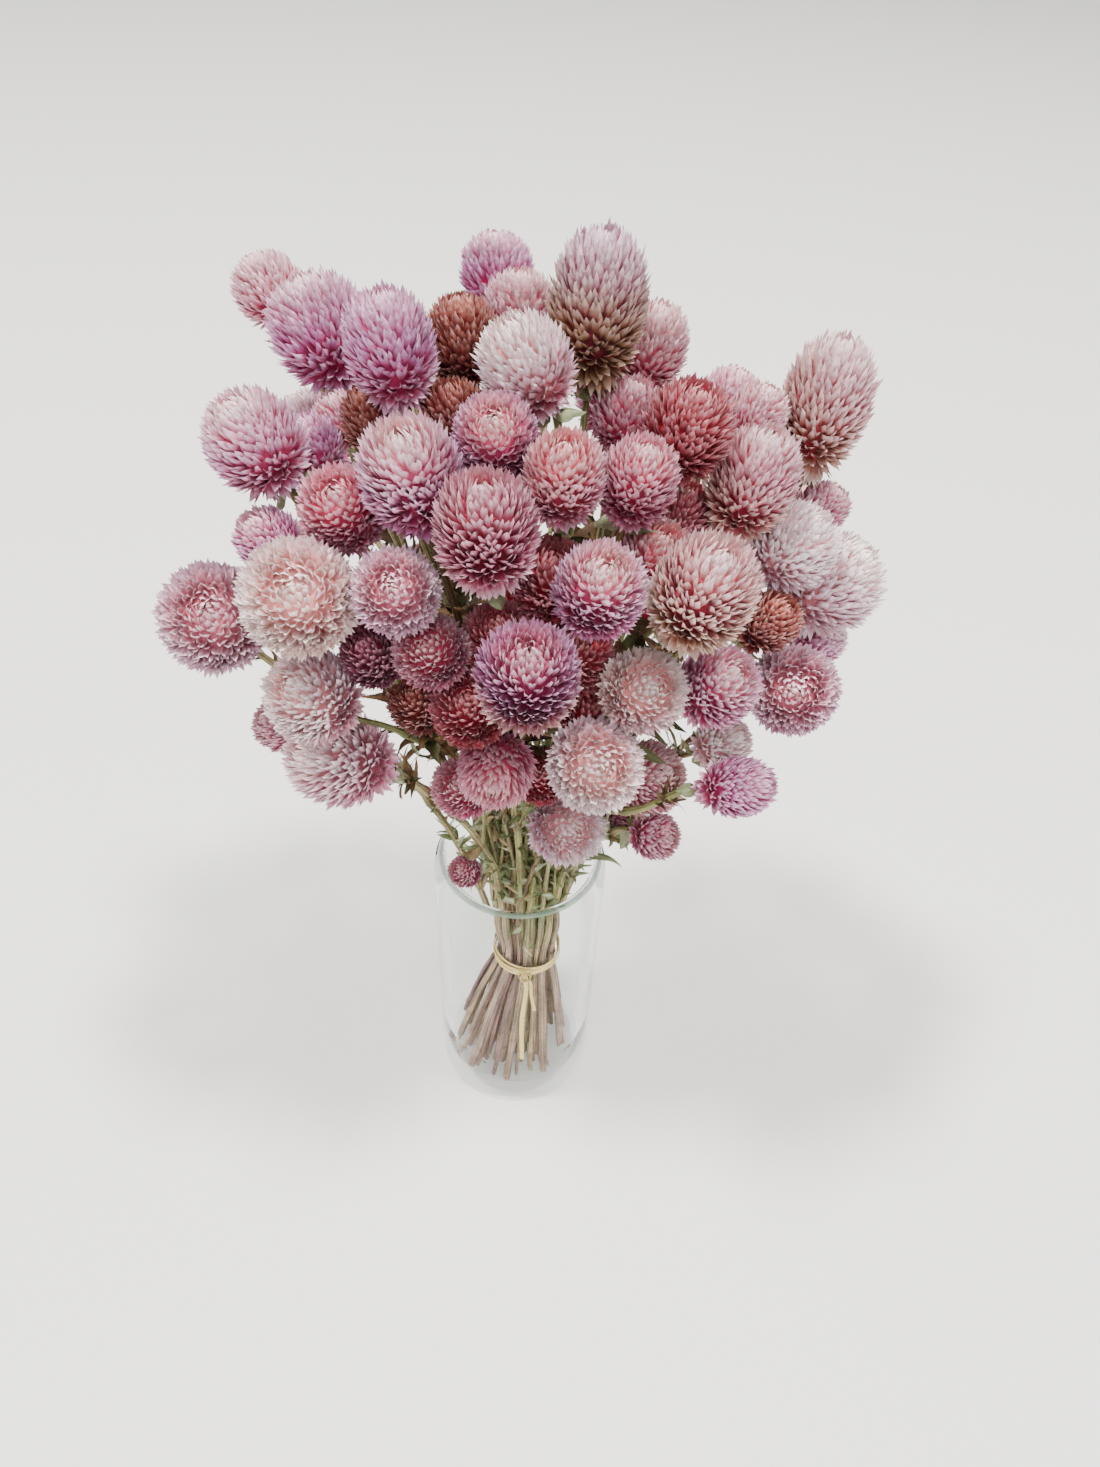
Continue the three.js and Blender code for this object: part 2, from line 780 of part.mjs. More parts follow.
// The raffia: a flat band, a knot at its front, and one end that hangs down over the stems
function tieSolid() {
  const inner = tieInnerRadius;
  const outer = tieInnerRadius + tieBandThickness;
  const edge = tieBandHalfHeight * 0.55;
  const profile = [
    [inner, -edge], [inner + tieBandThickness * 0.4, -tieBandHalfHeight], [outer, -edge],
    [outer, edge], [inner + tieBandThickness * 0.4, tieBandHalfHeight], [inner, edge], [inner, -edge],
  ].map(([radius, height]) => new THREE.Vector2(radius, height));
  const band = uprightLathe(profile, tieSides);
  const knot = new THREE.SphereGeometry(knotRadius, 8, 6);
  knot.translate(0, -outer - knotRadius * 0.35, 0);
  const start = new THREE.Vector3(0, -outer - knotRadius * 0.35, -0.5);
  const path = [
    start,
    start.clone().add(new THREE.Vector3(0.6, -1.4, -tailDrop * 0.15)),
    start.clone().add(new THREE.Vector3(-0.6, -tailOut * 0.6, -tailDrop * 0.55)),
    start.clone().add(new THREE.Vector3(0.4, -tailOut, -tailDrop)),
  ];
  const section = new THREE.Shape([
    new THREE.Vector2(-tailThickness / 2, -tailWidth / 2),
    new THREE.Vector2(tailThickness / 2, -tailWidth / 2),
    new THREE.Vector2(tailThickness / 2, tailWidth / 2),
    new THREE.Vector2(-tailThickness / 2, tailWidth / 2),
  ]);
  const hang = new THREE.CatmullRomCurve3(path);
  const tail = new THREE.ExtrudeGeometry(section, { steps: 6, extrudePath: hang });
  return [band, knot, tail].map(solidOf).reduce((whole, part) => whole.add(part))
    .translate([tieMiddle.x, tieMiddle.y, tieHeight]);
}

function boxesMeet(one, two) {
  return [0, 1, 2].every((side) => one.min[side] < two.max[side] && two.min[side] < one.max[side]);
}

// Whether a leaf keeps clear of everything else
function isClear(solid, others) {
  const box = solid.boundingBox();
  return others.every((other) => !boxesMeet(box, other.boundingBox())
    || solid.intersect(other).isEmpty());
}

// The places where a stem can carry leaves: pairs at the mouth and single ones at its forks
function leafPlaces(stem) {
  const places = [{ point: mouthPoint, pair: true }];
  const forks = branches.filter((item) => item.stem === stem);
  for (const branch of forks.slice(0, 1)) {
    places.push({ point: branch.rootPoint, pair: false });
  }
  return places;
}

function leafCandidates(stem, place, order) {
  const root = stem.points[place.point];
  const along = stem.points[place.point + 1].clone().sub(root).normalize();
  const seed = stem.number * leafSeed + order * leafOrderSeed;
  const outward = new THREE.Vector3(root.x, root.y, 0).normalize();
  const first = outward.addScaledVector(along, -outward.dot(along)).normalize();
  return Array.from({ length: leafTries }, (_, attempt) => {
    const turn = (draw(seed) - 0.5) * leafSwing + attempt * leafTurn * (attempt % 2 ? 1 : -1);
    const direction = first.clone().applyAxisAngle(along, turn)
      .addScaledVector(along, 0.5 + draw(seed + 1) * 0.7).normalize();
    return {
      root,
      direction,
      width: leafWidth * (0.75 + 0.5 * draw(seed + 2)),
      length: leafLength * (0.65 + 0.6 * draw(seed + 3)),
      droop: 0.15 + 0.5 * draw(seed + 4),
    };
  });
}

// A stem's leaves: each is the first of its tries that is clear with a margin, or left out
function addLeaves(stem, solids) {
  const others = [...solids.values()].filter((solid) => solid !== solids.get(stem));
  const hasRoom = ({ root, direction, width, length, droop }) =>
    isClear(solidOf(leafGeometry(root, direction, width + leafMargin, length + leafMargin, droop)), others);
  leafPlaces(stem).forEach((place, position) => {
    const orders = place.pair ? [position * 2, position * 2 + 1] : [position * 2];
    for (const order of orders) {
      const leaf = leafCandidates(stem, place, order).find(hasRoom);
      if (leaf) {
        const { root, direction, width, length, droop } = leaf;
        const added = solidOf(leafGeometry(root, direction, width, length, droop));
        solids.set(stem, solids.get(stem).add(added));
      }
    }
  });
}

function mesh(name, solid, colour, roughness, look = {}) {
  const material = new THREE.MeshStandardMaterial({ color: colour, roughness, metalness: 0, ...look });
  const item = new THREE.Mesh(geometryOf(solid), material);
  item.name = name;
  return item;
}

const numbered = (name, number) => `${name}_${String(number).padStart(2, "0")}`;

const solids = new Map();
solids.set("vase", solidOf(vaseGeometry()));
solids.set("raffia_tie", tieSolid());
stems.forEach((stem, order) => {
  stem.number = order + 1;
});
for (const stem of stems) {
  solids.set(stem.head, solidOf(placedHead(stem.head, headColumns, headRows)));
  solids.set(stem, stemSolid(stem));
}
for (const stem of stems) {
  addLeaves(stem, solids);
}

const group = new THREE.Group();
group.add(mesh("vase", solids.get("vase"), colours.glass, 0.05, { transparent: true, opacity: 0.3 }));
group.add(mesh("raffia_tie", solids.get("raffia_tie"), colours.raffia, 0.8));
for (const stem of stems) {
  const light = new THREE.Color(colours.headLight);
  const tone = light.lerp(new THREE.Color(colours.headDeep), draw(stem.number + toneSeed));
  group.add(mesh(numbered("leafy_stem", stem.number), solids.get(stem), colours.stem, 0.8));
  group.add(mesh(numbered("flower_head", stem.number), solids.get(stem.head), tone, 0.85));
}
export default group;
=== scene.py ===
"""Dried globe amaranth in a glass vase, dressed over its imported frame."""
import math

import bpy
import numpy as np
from mathutils import Matrix, Vector
from mathutils.bvhtree import BVHTree


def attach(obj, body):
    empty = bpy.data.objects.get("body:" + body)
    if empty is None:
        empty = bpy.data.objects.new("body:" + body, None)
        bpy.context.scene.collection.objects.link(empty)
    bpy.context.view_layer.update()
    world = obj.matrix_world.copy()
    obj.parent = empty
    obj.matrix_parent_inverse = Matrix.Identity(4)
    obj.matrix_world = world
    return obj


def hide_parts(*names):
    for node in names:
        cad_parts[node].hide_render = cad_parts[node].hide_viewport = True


bl_info = {
    "name": "Dried Globe Amaranth in a Vase",
    "version": (1, 0, 0),
    "blender": (4, 5, 0),
    "location": "3D View > Sidebar > Amaranth",
    "description": "Bracted heads, dry stems, raffia and glass for a bunch of dried globe amaranth",
    "category": "Object",
}

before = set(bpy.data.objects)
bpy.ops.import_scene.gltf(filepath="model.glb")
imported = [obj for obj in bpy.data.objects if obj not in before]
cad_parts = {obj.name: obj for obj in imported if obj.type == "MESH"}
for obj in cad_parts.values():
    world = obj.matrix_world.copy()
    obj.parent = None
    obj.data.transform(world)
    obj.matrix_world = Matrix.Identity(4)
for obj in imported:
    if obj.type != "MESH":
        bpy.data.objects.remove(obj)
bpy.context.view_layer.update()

MM = 0.001
UP = np.array([0.0, 0.0, 1.0])

# Where each kind of piece starts its random draws
FOLIAGE_SEED = 7
RAFFIA_SEED = 11
HEAD_SEED = 100
STEM_SEED = 300
LEAFY_BRACT_SEED = 500
TWIG_SEED = 700

# Vase, tie and stems, in millimetres
VASE_RADIUS = 30.0
VASE_HEIGHT = 122.5
BORE_RADIUS = 25.6
FLOOR_THICKNESS = 5.0
SHOULDER_HEIGHT = 9.0
LIP_RADIUS = 26.7
LIP_HALF_WIDTH = 1.1
FOOT_BEVEL = 1.2
TIE_HEIGHT = 69.0
TIE_INNER_RADIUS = 11.3
TIE_THICKNESS = 1.8
TIE_MIDDLE = (3.5, -1.0)
TAIL_DROP = 46.0
TAIL_OUT = 8.0
STEM_RADIUS = 1.25
BRANCH_RADIUS = 0.95
SEAT_GAP = 0.3
SUNK_DEPTH = 2.0
SLOT_SPACING = 3.2
FLOOR_SPREAD = 2.25
MOUTH_SPREAD = 1.35
BUNCH_LEAN = (-5.0, 1.0)
STEM_CURVE_POINTS = 7
BRANCH_CURVE_POINTS = 4
BRANCH_ANGLE = math.radians(12.5)
BRANCHES_PER_STEM = 4
MOST_STEMS = 28
STEM_FOOT_HEIGHT = FLOOR_THICKNESS + SEAT_GAP + 0.15
MID_VASE_HEIGHT = 40.0
THROAT_HEIGHT = 100.0
MOUTH_HEIGHT = 128.0
TWIGS_PER_STEM = 3
TWIG_SPREAD = 1.6
TWIG_LIMIT = 9.8
TWIG_TIPS = (136, 176)
TWIG_WANDER = 6.5
MOST_WANDER = 9
STALK_LENGTH = 6.0
STALK_RADIUS = 2.0

# The view, in picture pixels and millimetres
PICTURE_WIDTH = 1100
PICTURE_MIDDLE = (550.0, 733.5)
PICTURE_FOCUS = 1059.0
EYE = np.array([7.9, -234.9, 406.1])
EYE_PITCH = math.radians(44)
EYE_ROLL = math.radians(3.2)
FORWARD = np.array([0.0, math.cos(EYE_PITCH), -math.sin(EYE_PITCH)])
UPRIGHT = np.array([0.0, math.sin(EYE_PITCH), math.cos(EYE_PITCH)])
RIGHT = math.cos(EYE_ROLL) * np.array([1.0, 0.0, 0.0]) + math.sin(EYE_ROLL) * UPRIGHT
ABOVE = math.cos(EYE_ROLL) * UPRIGHT - math.sin(EYE_ROLL) * np.array([1.0, 0.0, 0.0])

# The bouquet's rounded outline
DOME_MIDDLE = np.array([-3.0, 0.0, 245.0])
DOME_RADII = np.array([80.0, 64.0, 66.0])
MOUTH_MIDDLE = np.array([0.0, 0.0, VASE_HEIGHT + 22])

# How the bunch is kept clear of itself
HEAD_CLEARANCE = 0.5
HEAD_ROUNDS = 80
BACK_SHARE = 0.45
ASIDE_SHARE = 0.2
BEND_ROUNDS = 60
BEND_CLEARANCE = 0.45
BEND_EASE = 0.12


def head(across, down, width, length, depth, lean=(0, 0, 0), look="blush"):
    """A head that the picture shows, or shows in part."""
    return dict(across=across, down=down, width=width, length=length, depth=depth, lean=lean, look=look)


def far_head(x, y, z, width, length, lean=(0, 0, 0), look="blush"):
    """A head on the far side or below."""
    return dict(middle=(x, y, z), width=width, length=length, lean=lean, look=look)


# One row a head: its middle in the picture, width, length, depth below the outline, lean, look
OPEN_HEADS = [
    head(272, 291, 17, 18.5, 20, (-0.2, 0, 0.2), "blush"),
    head(318, 331, 24, 27, 2, (-0.1, 0, 0.2), "lilac"),
    head(390, 347, 19, 26, 4, (0, 0.1, 0.4), "orchid"),
    head(497, 271, 17.5, 19, 14, look="lilac"),
    head(514, 312, 17, 19, 20, look="blush"),
    head(457, 352, 17, 21, 16, look="russet"),
    head(522, 371, 19.5, 22, 3, (-0.5, 0, 0), "silver"),
    head(597, 306, 20.5, 34, -6, (0, 0.1, 0.5), "straw"),
    head(641, 352, 17, 22, 16, look="blush"),
    # This head's crimson look is partly painted shade: it is darker than its own colour, for the shade it
    # sits in
    head(686, 430, 19, 22, 5, look="crimson"),
    head(817, 404, 21, 35, 0, (-0.25, 0.1, 0.6), "cream_straw"),
    head(735, 474, 18.5, 28, 2, (-0.1, 0.1, 0.3), "blush_straw"),
    head(637, 480, 16, 21, 5, look="rose"),
    head(564, 477, 16.5, 21, 3, look="coral"),
    head(497, 438, 17.5, 18.5, 6, (0, -0.4, -0.1), "lilac_blush"),
    head(413, 476, 20.5, 26, -2, look="lilac_blush"),
    head(254, 441, 21, 24, 0, look="plum_blush"),
    head(338, 518, 18, 20, 3, (0.2, -0.3, 0), "rose"),
    head(486, 530, 20, 27, -5, (0, 0.1, 0.2), "skirted"),
    head(643, 550, 18, 19, 8, look="coral"),
    head(776, 532, 19.5, 22, 4, look="lilac_pale"),
    head(823, 581, 24, 27, 0, look="pale"),
    head(704, 592, 21, 28, -4, (0, 0.1, 0.2), "cream_straw"),
    head(600, 590, 18.5, 22, 0, look="lilac_blush"),
    head(556, 572, 18, 20, 14, look="crimson"),
    head(302, 597, 24, 26, -6, (0.35, -0.35, -0.1), "cream"),
    head(214, 618, 26, 27, -2, (0.75, -0.45, 0), "rosette"),
    head(396, 592, 18, 20, 2, (0.2, -0.45, -0.1), "rosette"),
    head(428, 646, 16.5, 17.5, 8, (0, -0.3, 0), "dusky"),
    head(318, 692, 21, 22, 0, look="silver"),
    head(338, 758, 23, 29, 0, (-0.2, 0, 0), "silver_plum"),
    head(467, 690, 18, 20, 11, look="crimson"),
    head(528, 677, 20.5, 27, -8, (0, 0.1, 0.1), "orchid_straw"),
    head(577, 640, 18, 20, 15, look="crimson"),
    head(655, 672, 19, 19.5, 0, (0.1, -0.3, 0), "cream"),
    head(713, 686, 18.5, 21, 5, look="plum_blush"),
    head(793, 690, 22, 25, 0, (-0.7, -0.5, -0.1), "rosette"),
    head(607, 747, 21.5, 23, -8, (0, -0.3, -0.1), "pale"),
    head(491, 757, 19, 19, 18, (0, -0.5, -0.8), "rose"),
    head(680, 782, 21, 23, 4, look="blush_straw"),
    head(738, 787, 15, 21, 4, (0.3, 0, 0), "orchid"),
    head(567, 827, 22, 21, 42, (0, -0.3, 0.3), "lilac_pale"),
]

SIDE_HEADS = [
    head(614, 405, 16, 18, 22, look="rose"),
    head(447, 410, 16, 17, 24, look="russet"),
    head(757, 415, 14, 16, 18, look="blush"),
    head(303, 447, 14, 16, 22, look="orchid"),
    head(335, 425, 13, 14, 30, look="rose"),
    head(817, 505, 13, 15, 22, look="rose"),
    head(268, 540, 14.5, 16, 15, look="lilac"),
    head(374, 655, 14, 16, 14, look="plum"),
    head(281, 725, 14, 15, 16, look="dusky"),
    head(490, 638, 16, 18, 16, look="crimson"),
    head(720, 745, 14, 16, 14, look="pale"),
    head(655, 832, 13.5, 14, 36, look="dusky"),
    head(622, 812, 14, 15, 48, look="plum"),
    head(418, 693, 15, 17, 16, look="russet"),
    head(463, 787, 17, 18, 38, look="rose"),
    # This half-hidden head's crimson look is partly painted shade of the dark gap it fills
    head(690, 505, 17, 19, 15, look="crimson"),
    head(820, 635, 13, 15, 14, look="plum_blush"),
    head(770, 622, 14, 16, 16, look="russet"),
    head(541, 612, 17, 19, 20, look="crimson"),
    head(540, 776, 15, 16, 34, look="crimson"),
    head(376, 418, 15, 17, 28, look="russet"),
    head(582, 700, 15, 17, 24, look="crimson"),
]

# The far side, which the picture hides: places in millimetres
FAR_HEADS = [
    far_head(-64, 38, 256, 21, 24, look="lilac_blush"),
    far_head(-38, 60, 262, 22, 26, look="pale"),
    far_head(-8, 68, 256, 20, 25, look="blush_straw"),
    far_head(22, 64, 262, 23, 27, look="orchid"),
    far_head(50, 50, 254, 20, 23, look="cream"),
    far_head(70, 26, 244, 21, 24, look="coral"),
    far_head(-22, 62, 230, 21, 24, look="plum_blush"),
    far_head(32, 60, 228, 22, 24, look="silver"),
    far_head(-38, 40, 283, 16, 19, look="rose"),
    far_head(2, 46, 282, 16, 18, look="blush"),
    far_head(26, 38, 282, 17, 20, look="dusky"),
    far_head(50, 30, 276, 16, 19, look="rose"),
    far_head(-52, 50, 232, 15, 17, look="crimson"),
    far_head(6, 66, 232, 14, 17, look="rose"),
    far_head(58, 42, 224, 15, 17, look="plum"),
    far_head(-68, 14, 232, 15, 17, look="coral"),
    far_head(-36, 46, 206, 14, 16, look="dusky"),
    far_head(4, 52, 204, 15, 17, look="lilac"),
    far_head(38, 42, 200, 14, 15, look="rose"),
    far_head(-17, -22, 137, 10, 11, (0, 0, 1.4), "dusky"),
]


# The bunch's plan: where each head sits and how each stem runs, in millimetres

def draw(number):
    """A repeatable draw between 0 and 1 for a whole number."""
    value = math.sin(number * 12.9898 + 4.1414) * 43758.5453
    return value - math.floor(value)


def unit(vector):
    """A vector's direction."""
    return vector / np.linalg.norm(vector)


def sight_line(across, down):
    """The way from the eye through a point of the picture."""
    sideways = (across - PICTURE_MIDDLE[0]) / PICTURE_FOCUS
    upward = (PICTURE_MIDDLE[1] - down) / PICTURE_FOCUS
    return FORWARD + RIGHT * sideways + ABOVE * upward


def place_on_dome(row):
    """Where a head's sight line meets the bunch's outline, pushed in by its depth."""
    ray = sight_line(row["across"], row["down"])
    start = (EYE - DOME_MIDDLE) / DOME_RADII
    step = ray / DOME_RADII
    a = step @ step
    b = start @ step
    inside = b * b - a * (start @ start - 1)
    distance = (-b - math.sqrt(max(inside, 0))) / a + row["depth"] / np.linalg.norm(ray)
    return EYE + ray * distance, unit(ray)


def head_axes(middles, leans):
    """Heads point away from the mouth, each with its own lean."""
    ways = middles - MOUTH_MIDDLE
    ways = ways / np.linalg.norm(ways, axis=1, keepdims=True) + leans
    return ways / np.linalg.norm(ways, axis=1, keepdims=True)


def nearest(p1, q1, p2, q2):
    """Nearest points of many pairs of lines, as shares along each, and the way apart."""
    d1 = q1 - p1
    d2 = q2 - p2
    r = p1 - p2
    a = np.maximum((d1 * d1).sum(1), 1e-9)
    e = np.maximum((d2 * d2).sum(1), 1e-9)
    f = (d2 * r).sum(1)
    c = (d1 * r).sum(1)
    b = (d1 * d2).sum(1)
    denominator = a * e - b * b
    safe = np.where(denominator > 1e-9, denominator, 1.0)
    s = np.where(denominator > 1e-9, np.clip((b * f - c * e) / safe, 0, 1), 0.0)
    t = np.clip((b * s + f) / e, 0, 1)
    s = np.clip((b * t - c) / a, 0, 1)
    apart = p1 + d1 * s[:, None] - p2 - d2 * t[:, None]
    return s, t, apart, np.linalg.norm(apart, axis=1)


def head_rods(middles, axes, widths, lengths):
    """Each head as a rod with round ends: the two end points of its middle line."""
    half = np.maximum(lengths / 2 - widths / 2, 0)[:, None]
    return middles - axes * half, middles + axes * half


def settle_heads(middles, rays, leans, widths, lengths):
    """Heads that would run into each other move apart, the farther one back along its sight line."""
    one, two = np.triu_indices(len(middles), 1)
    radii = widths / 2
    stalks = np.full(len(middles), STALK_RADIUS)
    axes = head_axes(middles, leans)
    for _ in range(HEAD_ROUNDS):
        low, high = head_rods(middles, axes, widths, lengths)
        base = middles - axes * (lengths / 2)[:, None]
        foot = base - axes * STALK_LENGTH
        most = np.full(len(one), -np.inf)
        way = np.zeros((len(one), 3))
        for first, second in (
            ((low, high, radii), (low, high, radii)),
            ((base, foot, stalks), (low, high, radii)),
            ((low, high, radii), (base, foot, stalks)),
        ):
            gap = nearest(first[0][one], first[1][one], second[0][two], second[1][two])
            need = first[2][one] + second[2][two] + HEAD_CLEARANCE - gap[3]
            better = need > most
            most = np.where(better, need, most)
            way = np.where(better[:, None], gap[2], way)
        far = np.linalg.norm(middles - EYE, axis=1)
        hit = most > 0
        farther = np.where(far[one] > far[two], one, two)[hit]
        sign = np.where(farther == one[hit], 1.0, -1.0)
        away = way[hit] / np.linalg.norm(way[hit], axis=1, keepdims=True)
        moves = np.zeros_like(middles)
        np.add.at(moves, farther, rays[farther] * (most[hit] * BACK_SHARE)[:, None])
        np.add.at(moves, farther, away * (sign * most[hit] * ASIDE_SHARE)[:, None])
        middles = middles + moves
        axes = head_axes(middles, leans)
    return middles, axes


def plan_heads():
    """Every head with its middle, axis, foot and heading from the mouth."""
    rows = OPEN_HEADS + SIDE_HEADS + FAR_HEADS
    placed = [place_on_dome(row) if "across" in row else (np.array(row["middle"], float), np.zeros(3))
              for row in rows]
    middles = np.array([place[0] for place in placed])
    rays = np.array([place[1] for place in placed])
    leans = np.array([row["lean"] for row in rows], float)
    widths = np.array([row["width"] for row in rows], float)
    lengths = np.array([row["length"] for row in rows], float)
    middles, axes = settle_heads(middles, rays, leans, widths, lengths)
    heads = []
    for index, row in enumerate(rows):
        item = dict(row, index=index, middle=middles[index], axis=axes[index])
        item["base"] = item["middle"] - item["axis"] * item["length"] / 2
        way = item["base"] - MOUTH_MIDDLE
        item["reach"] = np.linalg.norm(way)
        item["heading"] = way / item["reach"]
        item["is_main"] = index < len(OPEN_HEADS)
        heads.append(item)
    return heads


def choose_stems(heads):
    """A head close behind another's heading grows from its stem, each of the rest ends its own."""
    stems = []
    branches = []
    for item in sorted(heads, key=lambda one: (-one["is_main"], -one["reach"])):
        open_stems = [stem for stem in stems if stem["branch_count"] < BRANCHES_PER_STEM]
        angles = [math.acos(min(stem["head"]["heading"] @ item["heading"], 1.0)) for stem in open_stems]
        near = int(np.argmin(angles)) if angles else None
        if near is not None and (angles[near] < BRANCH_ANGLE or len(stems) == MOST_STEMS):
            open_stems[near]["branch_count"] += 1
            branches.append(dict(head=item, stem=open_stems[near]))
        else:
            stems.append(dict(head=item, branch_count=0, number=len(stems) + 1))
    return stems, branches


def take_slots(stems):
    """The stems pass the tie in rings, the most upright in the middle."""
    upright = sorted(stems, key=lambda stem: -stem["head"]["heading"][2])
    taken = 0
    ring = 0
    while taken < len(upright):
        members = upright[taken:taken + max(6 * ring, 1)]
        taken += len(members)
        turned = sorted(
            ((math.atan2(stem["head"]["heading"][1], stem["head"]["heading"][0]), stem) for stem in members),
            key=lambda pair: pair[0])
        pitch = 2 * math.pi / len(members)
        sine = sum(math.sin(turn - place * pitch) for place, (turn, _) in enumerate(turned))
        cosine = sum(math.cos(turn - place * pitch) for place, (turn, _) in enumerate(turned))
        start = math.atan2(sine, cosine)
        for place, (_, stem) in enumerate(turned):
            angle = start + place * pitch
            stem["slot"] = ring * SLOT_SPACING * np.array([math.cos(angle), math.sin(angle)])
        ring += 1


def bunch_point(stem, spread, shift, height):
    """A stem's place at a height, with its slot in the tie spread and the bunch shifted."""
    across, deep = np.array(TIE_MIDDLE) + stem["slot"] * spread + shift * np.array(BUNCH_LEAN)
    return np.array([across, deep, height])


def bezier(corners, steps):
    """Points of the curve that four corners give, in steps."""
    a, b, c, d = corners
    shares = np.linspace(0, 1, steps + 1)[:, None]
    rest = 1 - shares
    return a * rest**3 + 3 * b * rest**2 * shares + 3 * c * rest * shares**2 + d * shares**3


def straighten_stalk(points, item):
    """The last stretch below a head runs along the head's axis."""
    points[-2] = item["base"] - item["axis"] * STALK_LENGTH
    return points


def stem_points(stem):
    """A main stem from the vase's floor through tie and mouth to its head."""
    half = (MID_VASE_HEIGHT - STEM_FOOT_HEIGHT) / (TIE_HEIGHT - STEM_FOOT_HEIGHT)
    throat = (THROAT_HEIGHT - TIE_HEIGHT) / (MOUTH_HEIGHT - TIE_HEIGHT)
    points = [
        bunch_point(stem, FLOOR_SPREAD, 1, STEM_FOOT_HEIGHT),
        bunch_point(stem, FLOOR_SPREAD + (1 - FLOOR_SPREAD) * half, 1 - half, MID_VASE_HEIGHT),
        bunch_point(stem, 1, 0, TIE_HEIGHT),
        bunch_point(stem, 1 + (MOUTH_SPREAD - 1) * throat, 0, THROAT_HEIGHT),
    ]
    mouth = bunch_point(stem, MOUTH_SPREAD, 0, MOUTH_HEIGHT)
    item = stem["head"]
    end = item["base"] - item["axis"] * SEAT_GAP
    span = np.linalg.norm(end - mouth)
    leaving = unit(mouth - points[3])
    curve = bezier((mouth, mouth + leaving * span * 0.33, end - item["axis"] * span * 0.33, end),
                   STEM_CURVE_POINTS)
    return np.vstack([points, straighten_stalk(curve, item)])


def branch_points(branch):
    """A branch leaves its stem between the mouth and the stem's head, the shorter its reach the lower."""
    main = branch["stem"]["points"]
    item = branch["head"]
    share = min(max(item["reach"] / branch["stem"]["head"]["reach"] * 0.55, 0.2), 0.6)
    branch["root_point"] = 4 + math.floor(share * STEM_CURVE_POINTS + 0.5)
    start = main[branch["root_point"]]
    end = item["base"] + item["axis"] * SUNK_DEPTH
    span = np.linalg.norm(end - start)
    along = unit(main[branch["root_point"] + 1] - start)
    curve = bezier((start, start + along * span * 0.25, end - item["axis"] * span * 0.4, end),
                   BRANCH_CURVE_POINTS)
    return straighten_stalk(curve, item)


def push_lines(moves, lines, push, share):
    """Moves both ends of each line by its push, each end by how near the push it lies."""
    np.add.at(moves, lines, push * (1 - share)[:, None])
    np.add.at(moves, lines + 1, push * share[:, None])


